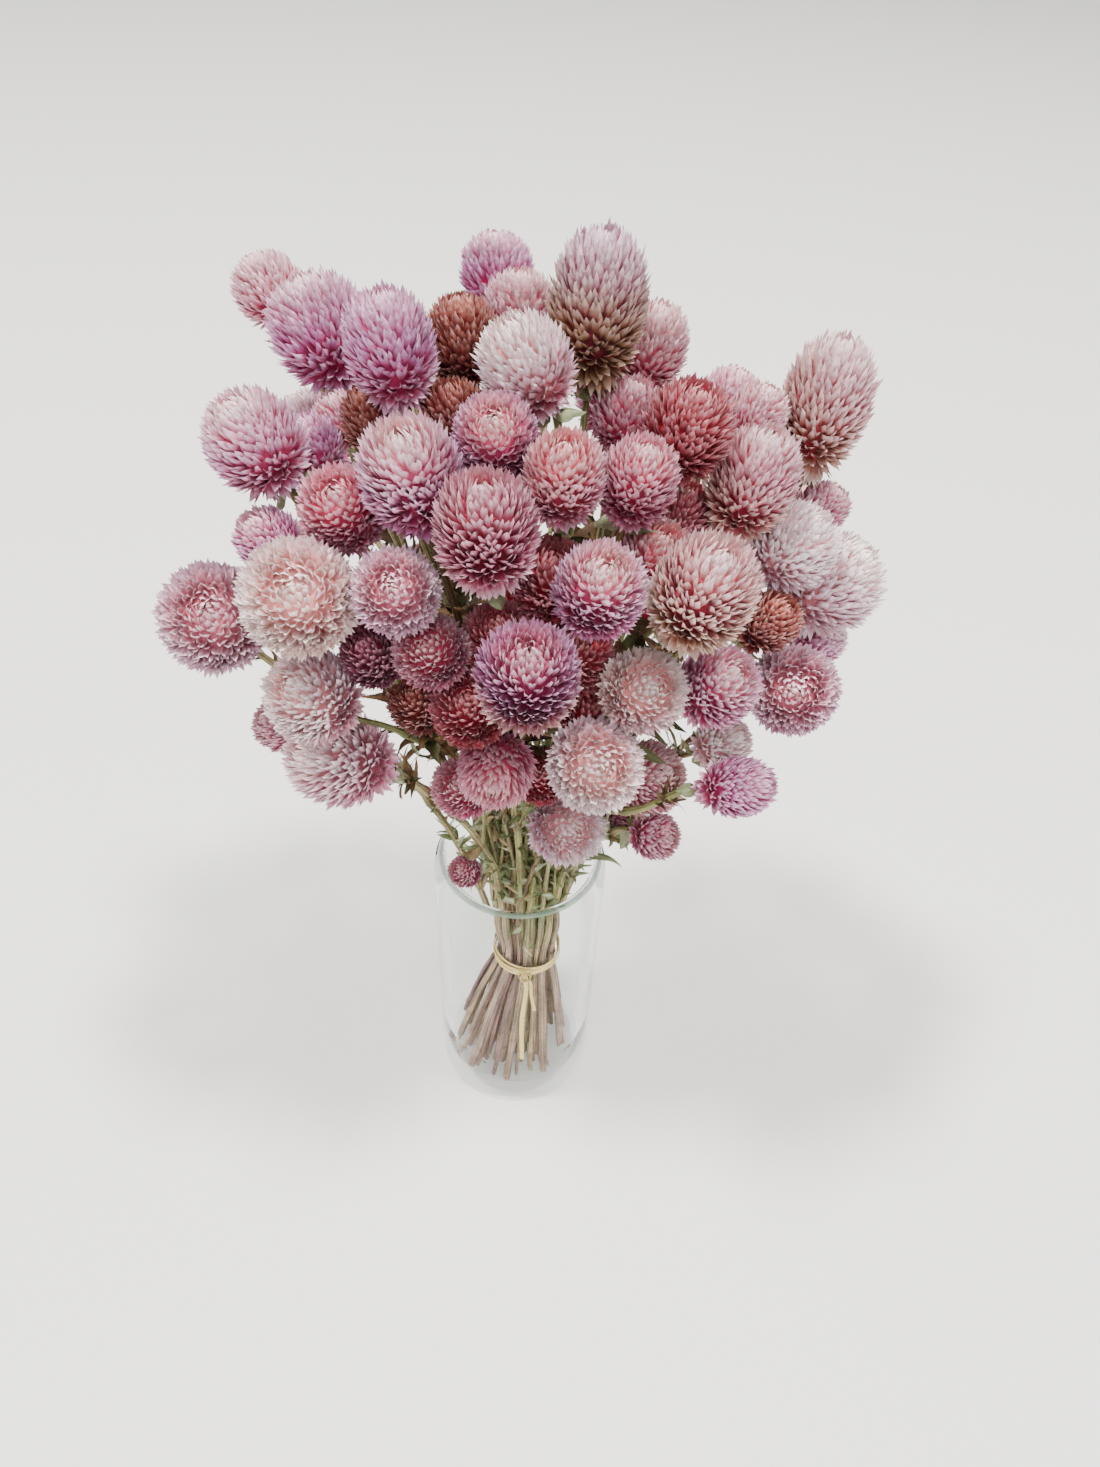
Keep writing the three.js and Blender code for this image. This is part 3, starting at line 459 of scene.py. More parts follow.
def bend_routes(stems, branches, heads):
    """Stems bend clear of each other and of the heads, easing the kinks as they go."""
    routes = stems + branches
    starts = np.cumsum([0] + [len(route["points"]) for route in routes])
    points = np.vstack([route["points"] for route in routes])
    owner = np.repeat(np.arange(len(routes)), np.diff(starts))
    lines = np.array([start + k for start, route in zip(starts, routes)
                      for k in range(len(route["points"]) - 1)])
    place = lines - starts[owner[lines]]
    radius = np.array([STEM_RADIUS] * len(stems) + [BRANCH_RADIUS] * len(branches))
    line_radius = radius[owner[lines]]
    parent = np.array(list(range(len(stems))) + [branch["stem"]["number"] - 1 for branch in branches])
    is_branch = np.arange(len(routes)) >= len(stems)

    # Pairs of lines to keep apart: of two routes, unless one grows from the other there
    one, two = np.triu_indices(len(lines), 1)
    own_one, own_two = owner[lines[one]], owner[lines[two]]
    root_one = is_branch[own_one] & (place[one] == 0)
    root_two = is_branch[own_two] & (place[two] == 0)
    joined = (root_one & (own_two == parent[own_one])) | (root_two & (own_one == parent[own_two]))
    joined |= root_one & root_two & (parent[own_one] == parent[own_two])
    keep = (own_one != own_two) & ~joined
    one, two = one[keep], two[keep]

    # Lines to keep off heads, other than the last of each route off its own
    low, high = head_rods(np.array([item["middle"] for item in heads]),
                          np.array([item["axis"] for item in heads]),
                          np.array([item["width"] for item in heads], float),
                          np.array([item["length"] for item in heads], float))
    rod_radius = np.array([item["width"] for item in heads]) / 2
    line_id, head_id = np.meshgrid(np.arange(len(lines)), np.arange(len(heads)), indexing="ij")
    line_id, head_id = line_id.ravel(), head_id.ravel()
    own_head = np.array([route["head"]["index"] for route in routes])
    sizes = np.array([len(route["points"]) for route in routes])
    line_owner = owner[lines[line_id]]
    skip = (own_head[line_owner] == head_id) & (place[line_id] >= sizes[line_owner] - 3)
    line_id, head_id = line_id[~skip], head_id[~skip]

    # Points that may move, and the roots of branches, which follow their stems
    point_place = np.arange(len(points)) - starts[owner]
    free = (point_place >= np.where(is_branch[owner], 1, 3)) & (point_place < sizes[owner] - 2)
    root_at = starts[len(stems):-1]
    root_from = np.array([starts[branch["stem"]["number"] - 1] + branch["root_point"] for branch in branches])

    for _ in range(BEND_ROUNDS):
        moves = np.zeros_like(points)
        start, end = points[lines], points[lines + 1]
        s, t, apart, distance = nearest(start[one], end[one], start[two], end[two])
        reach = line_radius[one] + line_radius[two] + BEND_CLEARANCE
        hit = distance < reach
        push = apart[hit] / distance[hit, None] * ((reach - distance)[hit] * 0.5)[:, None]
        push_lines(moves, lines[one[hit]], push, s[hit])
        push_lines(moves, lines[two[hit]], -push, t[hit])
        s, t, apart, distance = nearest(start[line_id], end[line_id], low[head_id], high[head_id])
        reach = line_radius[line_id] + rod_radius[head_id] + BEND_CLEARANCE
        hit = distance < reach
        push = apart[hit] / distance[hit, None] * (reach - distance)[hit, None]
        push_lines(moves, lines[line_id[hit]], push, s[hit])
        before = np.roll(points, 1, 0)
        after = np.roll(points, -1, 0)
        moved = points + moves + ((before + after) / 2 - points) * BEND_EASE
        most = BORE_RADIUS - radius[owner] - BEND_CLEARANCE
        out = np.hypot(moved[:, 0], moved[:, 1])
        squeeze = np.where((moved[:, 2] < VASE_HEIGHT + 4) & (out > most), most / out, 1.0)
        moved[:, :2] *= squeeze[:, None]
        points = np.where(free[:, None], moved, points)
        points[root_at] = points[root_from]
    for route, first, last in zip(routes, starts[:-1], starts[1:]):
        route["points"] = points[first:last]


def plan_bunch():
    """All heads, main stems and side branches."""
    heads = plan_heads()
    stems, branches = choose_stems(heads)
    take_slots(stems)
    for stem in stems:
        stem["points"] = stem_points(stem)
    for branch in branches:
        branch["points"] = branch_points(branch)
    bend_routes(stems, branches, heads)
    return heads, stems, branches


def plan_twigs():
    """Thinner stalks that stand in the vase beside each stem and cross among the leaves above its mouth."""
    for stem in stems:
        chance = np.random.default_rng(TWIG_SEED + stem["number"])
        stem["twigs"] = [twig_points(stem, chance) for _ in range(TWIGS_PER_STEM)]


def twig_points(stem, chance):
    """A twig from the floor through the tie to its tip among the leaves."""
    aside = stem["slot"] + chance.normal(0, TWIG_SPREAD, 2)
    aside *= min(1.0, TWIG_LIMIT / max(np.linalg.norm(aside), 0.1))
    twig = dict(slot=aside)
    end = chance.uniform(*TWIG_TIPS)
    wander = np.clip(chance.normal(0, TWIG_WANDER, 2), -MOST_WANDER, MOST_WANDER)
    wander = np.append(wander, 0) * (end - THROAT_HEIGHT) / 60
    return np.array([
        bunch_point(twig, FLOOR_SPREAD, 1, STEM_FOOT_HEIGHT + chance.uniform(0, 3)),
        bunch_point(twig, (1 + FLOOR_SPREAD) / 2, 0.5, MID_VASE_HEIGHT),
        bunch_point(twig, 1, 0, TIE_HEIGHT),
        bunch_point(twig, MOUTH_SPREAD, 0, THROAT_HEIGHT),
        bunch_point(twig, MOUTH_SPREAD, 0, (THROAT_HEIGHT + end) / 2) + wander * 0.4,
        bunch_point(twig, MOUTH_SPREAD * 1.2, 0, end) + wander,
    ])


heads, stems, branches = plan_bunch()
plan_twigs()


# Meshes: millimetres in, Blender's metres out

def add_piece(name, vertices, faces, colours=None, smooth=True, replaces=(), slot=None, material=None):
    """A mesh object on the body, from arrays of corners, faces and corner colours."""
    faces = np.asarray(faces, np.int32)
    mesh = bpy.data.meshes.new(name)
    mesh.vertices.add(len(vertices))
    mesh.vertices.foreach_set("co", (np.asarray(vertices, float) * MM).astype(np.float32).ravel())
    mesh.loops.add(faces.size)
    mesh.loops.foreach_set("vertex_index", faces.ravel())
    mesh.polygons.add(len(faces))
    mesh.polygons.foreach_set("loop_start", np.arange(len(faces), dtype=np.int32) * faces.shape[1])
    mesh.polygons.foreach_set("use_smooth", np.full(len(faces), smooth))
    if colours is not None:
        layer = mesh.color_attributes.new(name="tint", type="FLOAT_COLOR", domain="POINT")
        rgba = np.ones((len(vertices), 4), np.float32)
        rgba[:, :3] = linear(colours)
        layer.data.foreach_set("color", rgba.ravel())
    mesh.update(calc_edges=True)
    mesh.validate()
    piece = bpy.data.objects.new(name, mesh)
    bpy.context.scene.collection.objects.link(piece)
    if material is not None:
        mesh.materials.append(material)
    if replaces:
        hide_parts(*replaces)
    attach(piece, "root")
    return piece


def linear(colours):
    """Colours as they look on screen, 0 to 1, as light."""
    colours = np.clip(np.asarray(colours, float), 0, 1)
    return np.where(colours <= 0.04045, colours / 12.92, ((colours + 0.055) / 1.055) ** 2.4)


class Heap:
    """Corners, faces and colours gathered from many small shapes into one mesh."""

    def __init__(self):
        self.vertices = []
        self.faces = []
        self.colours = []
        self.count = 0

    def add(self, vertices, faces, colours):
        """Takes in a shape with its own numbering of corners, and one colour or one a corner."""
        vertices = np.asarray(vertices, float).reshape(-1, 3)
        faces = np.asarray(faces)
        if faces.shape[1] == 4:
            faces = halved(faces)
        self.vertices.append(vertices)
        self.faces.append(faces + self.count)
        self.colours.append(np.broadcast_to(colours, vertices.shape))
        self.count += len(vertices)

    def piece(self, name, **options):
        """The mesh of all that was taken in."""
        return add_piece(name, np.vstack(self.vertices), np.vstack(self.faces),
                         np.vstack(self.colours), **options)


def blend(one, two, share):
    """From one tint to another by a share, which is kept between 0 and 1."""
    share = np.clip(np.asarray(share, float), 0, 1)[..., None]
    return np.asarray(one) * (1 - share) + np.asarray(two) * share


def smooth_run(points, spacing):
    """A smooth line through points, in even steps."""
    points = np.asarray(points, float)
    padded = np.vstack([2 * points[0] - points[1], points, 2 * points[-1] - points[-2]])
    fine = []
    shares = np.linspace(0, 1, 24, endpoint=False)[:, None]
    for a, b, c, d in zip(padded[:-3], padded[1:-2], padded[2:-1], padded[3:]):
        fine.append(0.5 * (2 * b + (c - a) * shares + (2 * a - 5 * b + 4 * c - d) * shares**2
                           + (3 * b - a - 3 * c + d) * shares**3))
    fine = np.vstack(fine + [points[-1:]])
    run = np.concatenate([[0], np.cumsum(np.linalg.norm(np.diff(fine, axis=0), axis=1))])
    even = np.linspace(0, run[-1], max(int(run[-1] / spacing) + 1, 3))
    return np.stack([np.interp(even, run, fine[:, side]) for side in range(3)], 1), even


def along_frames(line):
    """Two sideways directions at each point of a line, turning as little as they can."""
    ahead = np.gradient(line, axis=0)
    ahead /= np.linalg.norm(ahead, axis=1, keepdims=True)
    side = np.cross(ahead[0], [0.3, 1.0, 0.2])
    sides = []
    for way in ahead:
        side = side - way * (side @ way)
        side = side / np.linalg.norm(side)
        sides.append(side)
    sides = np.array(sides)
    return ahead, sides, np.cross(ahead, sides)


def band_faces(rings, corners, closed=True):
    """Four-cornered faces between rings of corners, all the way round or from edge to edge."""
    row = np.arange(rings - 1)[:, None] * corners
    now = np.arange(corners if closed else corners - 1)[None, :]
    after = (now + 1) % corners
    return np.stack([row + now, row + after, row + corners + after, row + corners + now], 2).reshape(-1, 4)


def halved(quads):
    """Each four-cornered face as two triangles."""
    return np.vstack([quads[:, [0, 1, 2]], quads[:, [0, 2, 3]]])


def end_fans(low, low_centre, high, high_centre, corners):
    """Triangles that close a round body at both ends, between its end rings and their middles."""
    now = np.arange(corners)
    after = (now + 1) % corners
    return np.vstack([
        np.stack([np.full(corners, low_centre), low + after, low + now], 1),
        np.stack([np.full(corners, high_centre), high + now, high + after], 1),
    ])


def tube_rings(line, radii, section):
    """Corners and triangles of a closed tube whose section is radii round a circle."""
    count = len(section)
    _, sides, rises = along_frames(line)
    angles = 2 * np.pi * np.arange(count) / count
    rings = (line[:, None, :]
             + (radii[:, None] * section * np.cos(angles))[:, :, None] * sides[:, None, :]
             + (radii[:, None] * section * np.sin(angles))[:, :, None] * rises[:, None, :])
    vertices = np.vstack([rings.reshape(-1, 3), line[:1], line[-1:]])
    fans = end_fans(0, len(vertices) - 2, (len(line) - 1) * count, len(vertices) - 1, count)
    return vertices, np.vstack([halved(band_faces(len(line), count)), fans])


# Flower heads

# Colours as they look on screen: crown, flank and foot
LOOKS = {
    "blush": ((0.93, 0.77, 0.77), (0.91, 0.70, 0.74), (0.88, 0.66, 0.72)),
    "rose": ((0.93, 0.74, 0.77), (0.88, 0.63, 0.71), (0.83, 0.54, 0.65)),
    "coral": ((0.93, 0.72, 0.71), (0.92, 0.70, 0.74), (0.90, 0.68, 0.75)),
    "rosette": ((0.91, 0.79, 0.82), (0.94, 0.83, 0.89), (0.93, 0.84, 0.91)),
    "lilac": ((0.91, 0.75, 0.80), (0.83, 0.54, 0.75), (0.84, 0.61, 0.77)),
    "orchid": ((0.89, 0.69, 0.81), (0.84, 0.57, 0.78), (0.88, 0.67, 0.78)),
    "lilac_blush": ((0.96, 0.84, 0.84), (0.85, 0.64, 0.78), (0.83, 0.55, 0.72)),
    "lilac_pale": ((0.98, 0.92, 0.93), (0.97, 0.91, 0.93), (0.96, 0.88, 0.93)),
    "plum_blush": ((0.95, 0.83, 0.85), (0.89, 0.66, 0.80), (0.90, 0.70, 0.81)),
    "plum": ((0.63, 0.34, 0.42), (0.50, 0.19, 0.31), (0.47, 0.18, 0.29)),
    "russet": ((0.66, 0.36, 0.30), (0.57, 0.27, 0.21), (0.50, 0.23, 0.18)),
    "crimson": ((0.78, 0.46, 0.48), (0.71, 0.31, 0.36), (0.65, 0.28, 0.32)),
    "dusky": ((0.88, 0.70, 0.72), (0.81, 0.58, 0.65), (0.75, 0.50, 0.58)),
    "silver": ((0.96, 0.90, 0.89), (0.95, 0.88, 0.89), (0.89, 0.73, 0.76)),
    "silver_plum": ((0.96, 0.87, 0.87), (0.95, 0.81, 0.85), (0.91, 0.71, 0.79)),
    "straw": ((0.88, 0.74, 0.82), (0.68, 0.51, 0.50), (0.70, 0.56, 0.42)),
    "cream_straw": ((0.95, 0.83, 0.83), (0.84, 0.64, 0.62), (0.86, 0.75, 0.67)),
    "blush_straw": ((0.95, 0.81, 0.82), (0.87, 0.62, 0.67), (0.85, 0.69, 0.64)),
    "orchid_straw": ((0.89, 0.72, 0.78), (0.64, 0.33, 0.58), (0.76, 0.59, 0.58)),
    "cream": ((0.98, 0.92, 0.90), (0.98, 0.91, 0.89), (0.97, 0.89, 0.86)),
    "pale": ((0.98, 0.92, 0.90), (0.97, 0.91, 0.92), (0.96, 0.89, 0.91)),
    "skirted": ((0.87, 0.67, 0.71), (0.71, 0.39, 0.48), (0.92, 0.75, 0.80)),
}
# Deep tints at the bracts' roots and between them, as shares of the body's tint: partly the bracts' own
# deeper colour, partly painted shade where they shade each other
ROSY_ROOTS_AND_SHADE = np.array([0.84, 0.36, 0.52])
BROWN_ROOTS_AND_SHADE = np.array([0.66, 0.50, 0.36])
MUTED_ROOTS_AND_SHADE = np.array([0.79, 0.54, 0.58])
PALE_ROOTS_AND_SHADE = np.array([0.90, 0.67, 0.68])
CROWN_HEART = (0.94, 0.77, 0.70)
PAPER_WHITE = (0.98, 0.95, 0.95)
FLUSH = (0.80, 0.48, 0.72)

# A head's body: latitudes run from 0 at its foot to pi at its top
SEAT_DROP = 0.5 * (1 - math.cos(0.42))
GOLDEN_TURN = math.pi * (3 - math.sqrt(5))
COMMON_WIDTH = 19.0
FOOT_LATITUDE = 0.34
OPEN_LATITUDES = (1.5, 2.1)
CROWN_LATITUDE = 2.1
CROWN_CROWDING = 0.3
CORE_SHARE = 0.79
CORE_GRID = (9, 14)

# A bract: its length and half width in spacings, its outline and the spread of its shapes
BRACT_REACH = 1.7
BRACT_HALF_WIDTH = 0.42
BRACT_SHARES = np.array([0.0, 0.44, 0.72, 1.0])
BRACT_WIDTHS = np.array([0.6, 1.0, 0.66, 0.0])
BRACT_CORNERS = 10
BRACT_LENGTHS = (0.8, 1.25)
BRACT_BREADTHS = (0.85, 1.2)
BRACT_SPLAY = (0.12, 0.42)
BRACT_BULGE = (0.03, 0.12)
BRACT_FOLD = (0.35, 0.8)
KEEL_ROLL = 0.55
SKIRT_SHARE = 0.17


def head_frame(item):
    """Two sideways directions of a head and its axis."""
    axis = item["axis"]
    side = np.cross(axis, [0.2, 1.0, 0.1])
    side /= np.linalg.norm(side)
    return side, np.cross(axis, side), axis


def on_head(item, latitude, turn, out):
    """Points on a head's rounded body, or in or out of it by a share."""
    side, rise, axis = head_frame(item)
    radius = item["width"] / 2
    half = item["length"] / 2
    centre = item["base"] + axis * (half - SEAT_DROP * item["length"])
    reach = (out * radius * np.sin(latitude))[:, None]
    return (centre + reach * (np.cos(turn)[:, None] * side + np.sin(turn)[:, None] * rise)
            - (out * half * np.cos(latitude))[:, None] * axis)


def even_latitudes(item, spacing):
    """Latitudes of a head's florets from its foot to its top, closer together towards the top."""
    radius = item["width"] / 2
    half = item["length"] / 2
    latitude = np.linspace(FOOT_LATITUDE, math.pi - 0.03, 400)
    apart = spacing * (1 - CROWN_CROWDING * crown_share(latitude))
    belt = np.sin(latitude) * np.hypot(radius * np.cos(latitude), half * np.sin(latitude)) * radius / apart**2
    number = np.concatenate([[0], np.cumsum((belt[1:] + belt[:-1]) / 2 * np.diff(latitude))])
    count = int(2 * math.pi * number[-1] / 0.866)
    wanted = (np.arange(count) + 0.5) / count * number[-1]
    return np.interp(wanted, number, latitude)


def crown_share(latitude):
    """How far up the closed top of a head: 0 below it and 1 at the pole."""
    return np.clip((latitude - CROWN_LATITUDE) / (math.pi - CROWN_LATITUDE), 0, 1)


def deep_tint_and_gap_shade(body):
    """The deep tint at the bracts' roots and between them, partly their own deeper colour and partly painted
    shade: rosy, brown under straw bracts, muted under pale ones.
    """
    share = blend(np.broadcast_to(ROSY_ROOTS_AND_SHADE, body.shape), MUTED_ROOTS_AND_SHADE, (body[:, 1] - 0.6) / 0.22)
    share = blend(share, PALE_ROOTS_AND_SHADE, (body[:, 1] - 0.79) / 0.1)
    return body * blend(share, BROWN_ROOTS_AND_SHADE, (body[:, 1] - body[:, 2] - 0.04) / 0.07)


def bract_coat(item, spacing, reach, chance):
    """A head's florets in spirals: each a pair of keeled, pointed, papery bracts side by side."""
    spacing *= math.sqrt(item["width"] / COMMON_WIDTH)
    latitude = even_latitudes(item, spacing)
    florets = len(latitude)
    turn = np.arange(florets) * GOLDEN_TURN + chance.uniform(0, 6.28) + chance.normal(0, 0.04, florets)
    latitude, turn = np.repeat(latitude, 2), np.repeat(turn, 2)
    hand = np.tile([-1.0, 1.0], florets)
    count = 2 * florets
    crown = crown_share(latitude)
    size = spacing * (1 - CROWN_CROWDING * crown)
    height = (latitude - FOOT_LATITUDE) / (math.pi - FOOT_LATITUDE)
    skirt = np.clip((SKIRT_SHARE - height) / SKIRT_SHARE, 0, 1) * (1.6 if item["look"] == "skirted" else 0.8)
    opened = np.clip((latitude - OPEN_LATITUDES[0]) / (OPEN_LATITUDES[1] - OPEN_LATITUDES[0]), 0, 1)
    opened = opened * (1 - 0.5 * crown**3)

    # From the root on the core to the tip, which stands further out below and closes in at the crown
    radius = item["width"] / 2
    arc = np.hypot(radius * np.cos(latitude), item["length"] / 2 * np.sin(latitude))
    rise = BRACT_REACH * size / arc * (1 - 0.3 * crown) * (1 - 0.6 * opened) - 0.5 * skirt
    rise *= chance.uniform(*BRACT_LENGTHS, count)
    top = np.minimum(latitude + rise, math.pi * 0.99)
    stand = reach + chance.normal(0, 0.035, count) - 0.18 * crown**2 + 0.08 * skirt + 0.05 * opened
    girth = radius * np.maximum(np.sin(latitude), 0.12)
    root = on_head(item, np.clip(latitude - 0.08, 0.1, math.pi), turn + hand * 0.12 * size / girth,
                   CORE_SHARE - 0.05 + 0.1 * crown)
    splay = hand * chance.uniform(*BRACT_SPLAY, count) * size / girth * (1 - 0.5 * crown)
    tip = on_head(item, top, turn + splay, stand)

    # Its own directions, rolled so that each of a pair turns its keel aside
    skin = on_head(item, latitude, turn, np.full(count, 1.0))
    out = skin - on_head(item, latitude, turn, np.full(count, 0.9))
    along = tip - root
    length = np.linalg.norm(along, axis=1, keepdims=True)
    along /= length
    out -= along * (out * along).sum(1, keepdims=True)
    out /= np.linalg.norm(out, axis=1, keepdims=True)
    side = np.cross(along, out)
    sideways = on_head(item, latitude, turn + 0.01, np.full(count, 1.0)) - skin
    facing = np.sign((side * sideways).sum(1))
    roll = (facing * hand * KEEL_ROLL + chance.normal(0, 0.25, count))[:, None]
    keel = out * np.cos(roll) + side * np.sin(roll)
    side = np.cross(along, keel)

    # Three rings of three corners and the tip
    half = size[:, None] * BRACT_HALF_WIDTH * chance.uniform(*BRACT_BREADTHS, count)[:, None]
    half *= (1 + 0.3 * skirt)[:, None]
    bulge = length * chance.uniform(*BRACT_BULGE, count)[:, None]
    fold = chance.uniform(*BRACT_FOLD, count)[:, None]
    rings = []
    for share, width in zip(BRACT_SHARES[:-1], BRACT_WIDTHS[:-1]):
        spine = root + along * length * share + keel * bulge * 4 * share * (1 - share)
        droop = half * width * fold
        rings += [spine - side * half * width - keel * droop, spine,
                  spine + side * half * width - keel * droop]
    points = np.stack(rings + [tip], 1)
    faces = []
    for station in range(2):
        for column in range(2):
            a = station * 3 + column
            faces += [[a, a + 1, a + 4], [a, a + 4, a + 3]]
    faces += [[6, 7, 9], [7, 8, 9]]
    faces = np.array(faces)[None] + (np.arange(count) * BRACT_CORNERS)[:, None, None]
    tints = bract_tints(item["look"], height, turn, crown, opened, chance)
    return points.reshape(-1, 3), faces.reshape(-1, 3), tints.reshape(-1, 3)


def bract_tints(look, height, turn, crown, opened, chance):
    """Corner tints: deep between the bracts (partly their own colour, partly painted shade), the look's own
    on them and papery white at the tips; one wing of each bract is painted lighter and the other darker.
    """
    count = len(height)
    crown_tint, flank_tint, foot_tint = LOOKS[look]
    foot_height = 0.58 if "straw" in look else 0.42
    body = blend(np.broadcast_to(flank_tint, (count, 3)), crown_tint, (height - 0.45) / 0.4)
    body = blend(body, foot_tint, (foot_height - height) / 0.3)
    body = blend(body, CROWN_HEART, 0.6 * np.clip((crown - 0.72) / 0.28, 0, 1))
    deep_tint_and_shade = deep_tint_and_gap_shade(body)
    patch = np.clip(np.cos(turn - chance.uniform(0, 6.28)) * 0.5 + 0.1, 0, 1) * chance.uniform(0.2, 0.9)
    body = blend(body, FLUSH, patch * (1 - np.abs(height - 0.4) * 1.6) * 0.45)
    body = body * chance.normal(1.0, 0.05, count)[:, None]
    tip_tint = blend(body, PAPER_WHITE, np.full(count, 0.65))
    paleness = chance.uniform(0.5, 1.1, count) * (1 - 0.55 * crown)
    # The roots of each bract take the deep tint, and its lower ring takes it by depth: painted shade between
    # the rows, less where the bracts open, near the foot and on pale heads
    foot = np.clip((0.3 - height) / 0.3, 0, 1)
    pale = np.clip((body[:, 1] - 0.76) / 0.12, 0, 1)
    depth = (0.74 - 0.36 * opened - 0.35 * foot) * (1 - 0.35 * pale)
    tints = np.empty((count, BRACT_CORNERS, 3))
    tints[:, 0:3] = deep_tint_and_shade[:, None]
    tints[:, 3:6] = blend(body, deep_tint_and_shade, depth)[:, None]
    tints[:, 6:9] = blend(body, tip_tint, 0.3 * paleness)[:, None]
    tints[:, 9] = blend(body, tip_tint, paleness)
    # Painted light and shade: one wing of each bract is painted darker and the other lighter, as a shaded and
    # a lit facet
    tints[:, [3, 6]] *= 0.95
    tints[:, [5, 8]] *= 1.04
    return tints


def head_core(item):
    """The rounded body that a head's bracts stand on, and how far up the crown its corners lie."""
    rows, columns = CORE_GRID
    latitude = np.repeat(np.linspace(0.0, math.pi, rows + 1), columns)
    turn = np.tile(np.arange(columns) * 2 * math.pi / columns, rows + 1)
    points = on_head(item, latitude, turn, CORE_SHARE + 0.12 * crown_share(latitude))
    return points, band_faces(rows + 1, columns), crown_share(latitude)


def seated_leaf(root, direction, normal, length, width, curl, chance, stations=7):
    """A small dry leaf: keeled, wavy at its edges and curled along its length."""
    side = unit(np.cross(direction, normal))
    lift = np.cross(side, direction)
    shares = np.linspace(0, 1, stations)
    outline = np.sin(np.pi * shares**0.75) ** 0.8 * (1 - 0.25 * shares)
    outline[0] = 0.22
    phase = chance.uniform(0, 6.28, 3)
    points = []
    tints = []
    for share, wide in zip(shares, outline):
        bend = curl * share**1.6
        spine = root + length * share * (direction * math.cos(bend * 0.6) + lift * math.sin(bend))
        twist = 1.1 * math.sin(phase[0]) * share
        across = side * math.cos(twist) + lift * math.sin(twist)
        over = np.cross(across, direction)
        for column in LEAF_COLUMNS:
            wave = math.sin(9 * share + phase[1] + column * 2) * 0.24 + math.sin(21 * share + phase[2]) * 0.1
            fold = abs(column) * 0.6 + wave * abs(column)
            points.append(spine + across * column * wide * width / 2 - over * fold * wide * width / 2)
            tints.append(0.5 + 0.35 * (column == 0) - 0.2 * abs(column) + wave)
    return np.array(points), band_faces(stations, len(LEAF_COLUMNS), closed=False), np.array(tints)


def add_heads(settings, material):
    """Every head: its bracts and core in one mesh, in place of its CAD solid."""
    for item in heads:
        chance = np.random.default_rng(HEAD_SEED + item["index"])
        heap = Heap()
        points, faces, crown = head_core(item)
        crown_tint, flank_tint, _ = (np.array([tint]) for tint in LOOKS[item["look"]])
        # The core, seen only through the gaps, takes the deep tint: partly its own colour, partly painted
        # shade
        heap.add(points, faces, blend(deep_tint_and_gap_shade(flank_tint), deep_tint_and_gap_shade(crown_tint), crown))
        heap.add(*bract_coat(item, settings.bract_spacing / MM, settings.tip_reach, chance))
        stem = next((one for one in stems if one["head"] is item), None)
        if stem:
            name = f"bracts_head_{stem['number']:02d}"
            replaced = (f"flower_head_{stem['number']:02d}",)
        else:
            name = f"bracts_side_head_{item['index']:02d}"
            replaced = ()
        heap.piece(name, smooth=False, replaces=replaced, slot="flower_bracts", material=material)


# Stems

# Tints above the mouth and down in the vase
STEM_TINTS = [
    ((0.55, 0.54, 0.34), (0.60, 0.51, 0.43)),
    ((0.60, 0.57, 0.40), (0.64, 0.54, 0.48)),
    ((0.48, 0.49, 0.31), (0.56, 0.49, 0.38)),
    ((0.55, 0.45, 0.31), (0.60, 0.47, 0.43)),
    ((0.63, 0.60, 0.43), (0.66, 0.57, 0.44)),
    ((0.48, 0.39, 0.28), (0.53, 0.42, 0.40)),
]
RIDGE_COUNT = 6
RIDGE_RADII = (1.07, 0.9)
# Painted light and shade on the stems: ridges lighter, the furrows between them darker
RIDGE_PAINTED_SHADE = (1.13, 0.78)
STEM_STEP = 2.0
STEM_TAPER = (1.04, 0.76)
STEM_BROWN_HEIGHT = 66.0
STEM_GREEN_RISE = 50.0
NODE_TINT = (0.40, 0.28, 0.20)
NODE_SWELL = 0.38
NODE_LENGTH = 2.4
FIRST_NODE = (8, 30)
NODE_GAPS = (28, 55)
TWIG_RADII = (0.5, 0.85)
HAIR_TINT = (0.86, 0.84, 0.74)
HAIR_HEIGHT = 118.0
HAIR_SPACING = 0.9
HAIR_LENGTHS = (0.4, 0.9)
HAIR_HALF_WIDTH = 0.06


def stem_tube(heap, points, radius, tints, chance, forks=()):
    """A ridged dry stem with swollen nodes, greener above and browner below; its ridges are painted lighter
    and its furrows darker, as light and shade.
    """
    line, run = smooth_run(points, STEM_STEP)
    swell = np.ones(len(line))
    joints = list(forks)
    place = chance.uniform(*FIRST_NODE)
    while place < run[-1] - FIRST_NODE[0]:
        joints.append(line[int(place / run[-1] * (len(line) - 1))])
        place += chance.uniform(*NODE_GAPS)
    for joint in joints:
        near = np.linalg.norm(line - joint, axis=1)
        swell += NODE_SWELL * np.exp(-(near / NODE_LENGTH) ** 2)
    wobble = 1 + 0.05 * np.sin(run * 0.35 + chance.uniform(0, 6)) + 0.03 * np.sin(run * 1.1)
    taper = np.linspace(*STEM_TAPER, len(line))
    angles = np.arange(2 * RIDGE_COUNT)
    section = np.where(angles % 2 == 0, *RIDGE_RADII)
    vertices, faces = tube_rings(line, radius * swell * wobble * taper, section)
    upper, lower = tints
    share = np.clip((line[:, 2] - STEM_BROWN_HEIGHT) / STEM_GREEN_RISE, 0, 1)
    tone = blend(np.broadcast_to(lower, (len(line), 3)), upper, share)
    tone = tone * (1 + 0.10 * np.sin(run * 0.22 + chance.uniform(0, 6)))[:, None]
    tone = blend(tone, NODE_TINT, np.clip(swell - 1.12, 0, 1) * 1.6)
    # Painted light on the ridges, painted shade in the furrows
    ridge = np.where(angles % 2 == 0, *RIDGE_PAINTED_SHADE)
    ring_tints = (tone[:, None, :] * ridge[None, :, None]).reshape(-1, 3)
    heap.add(vertices, faces, np.vstack([ring_tints, tone[:1], tone[-1:]]))
    return line


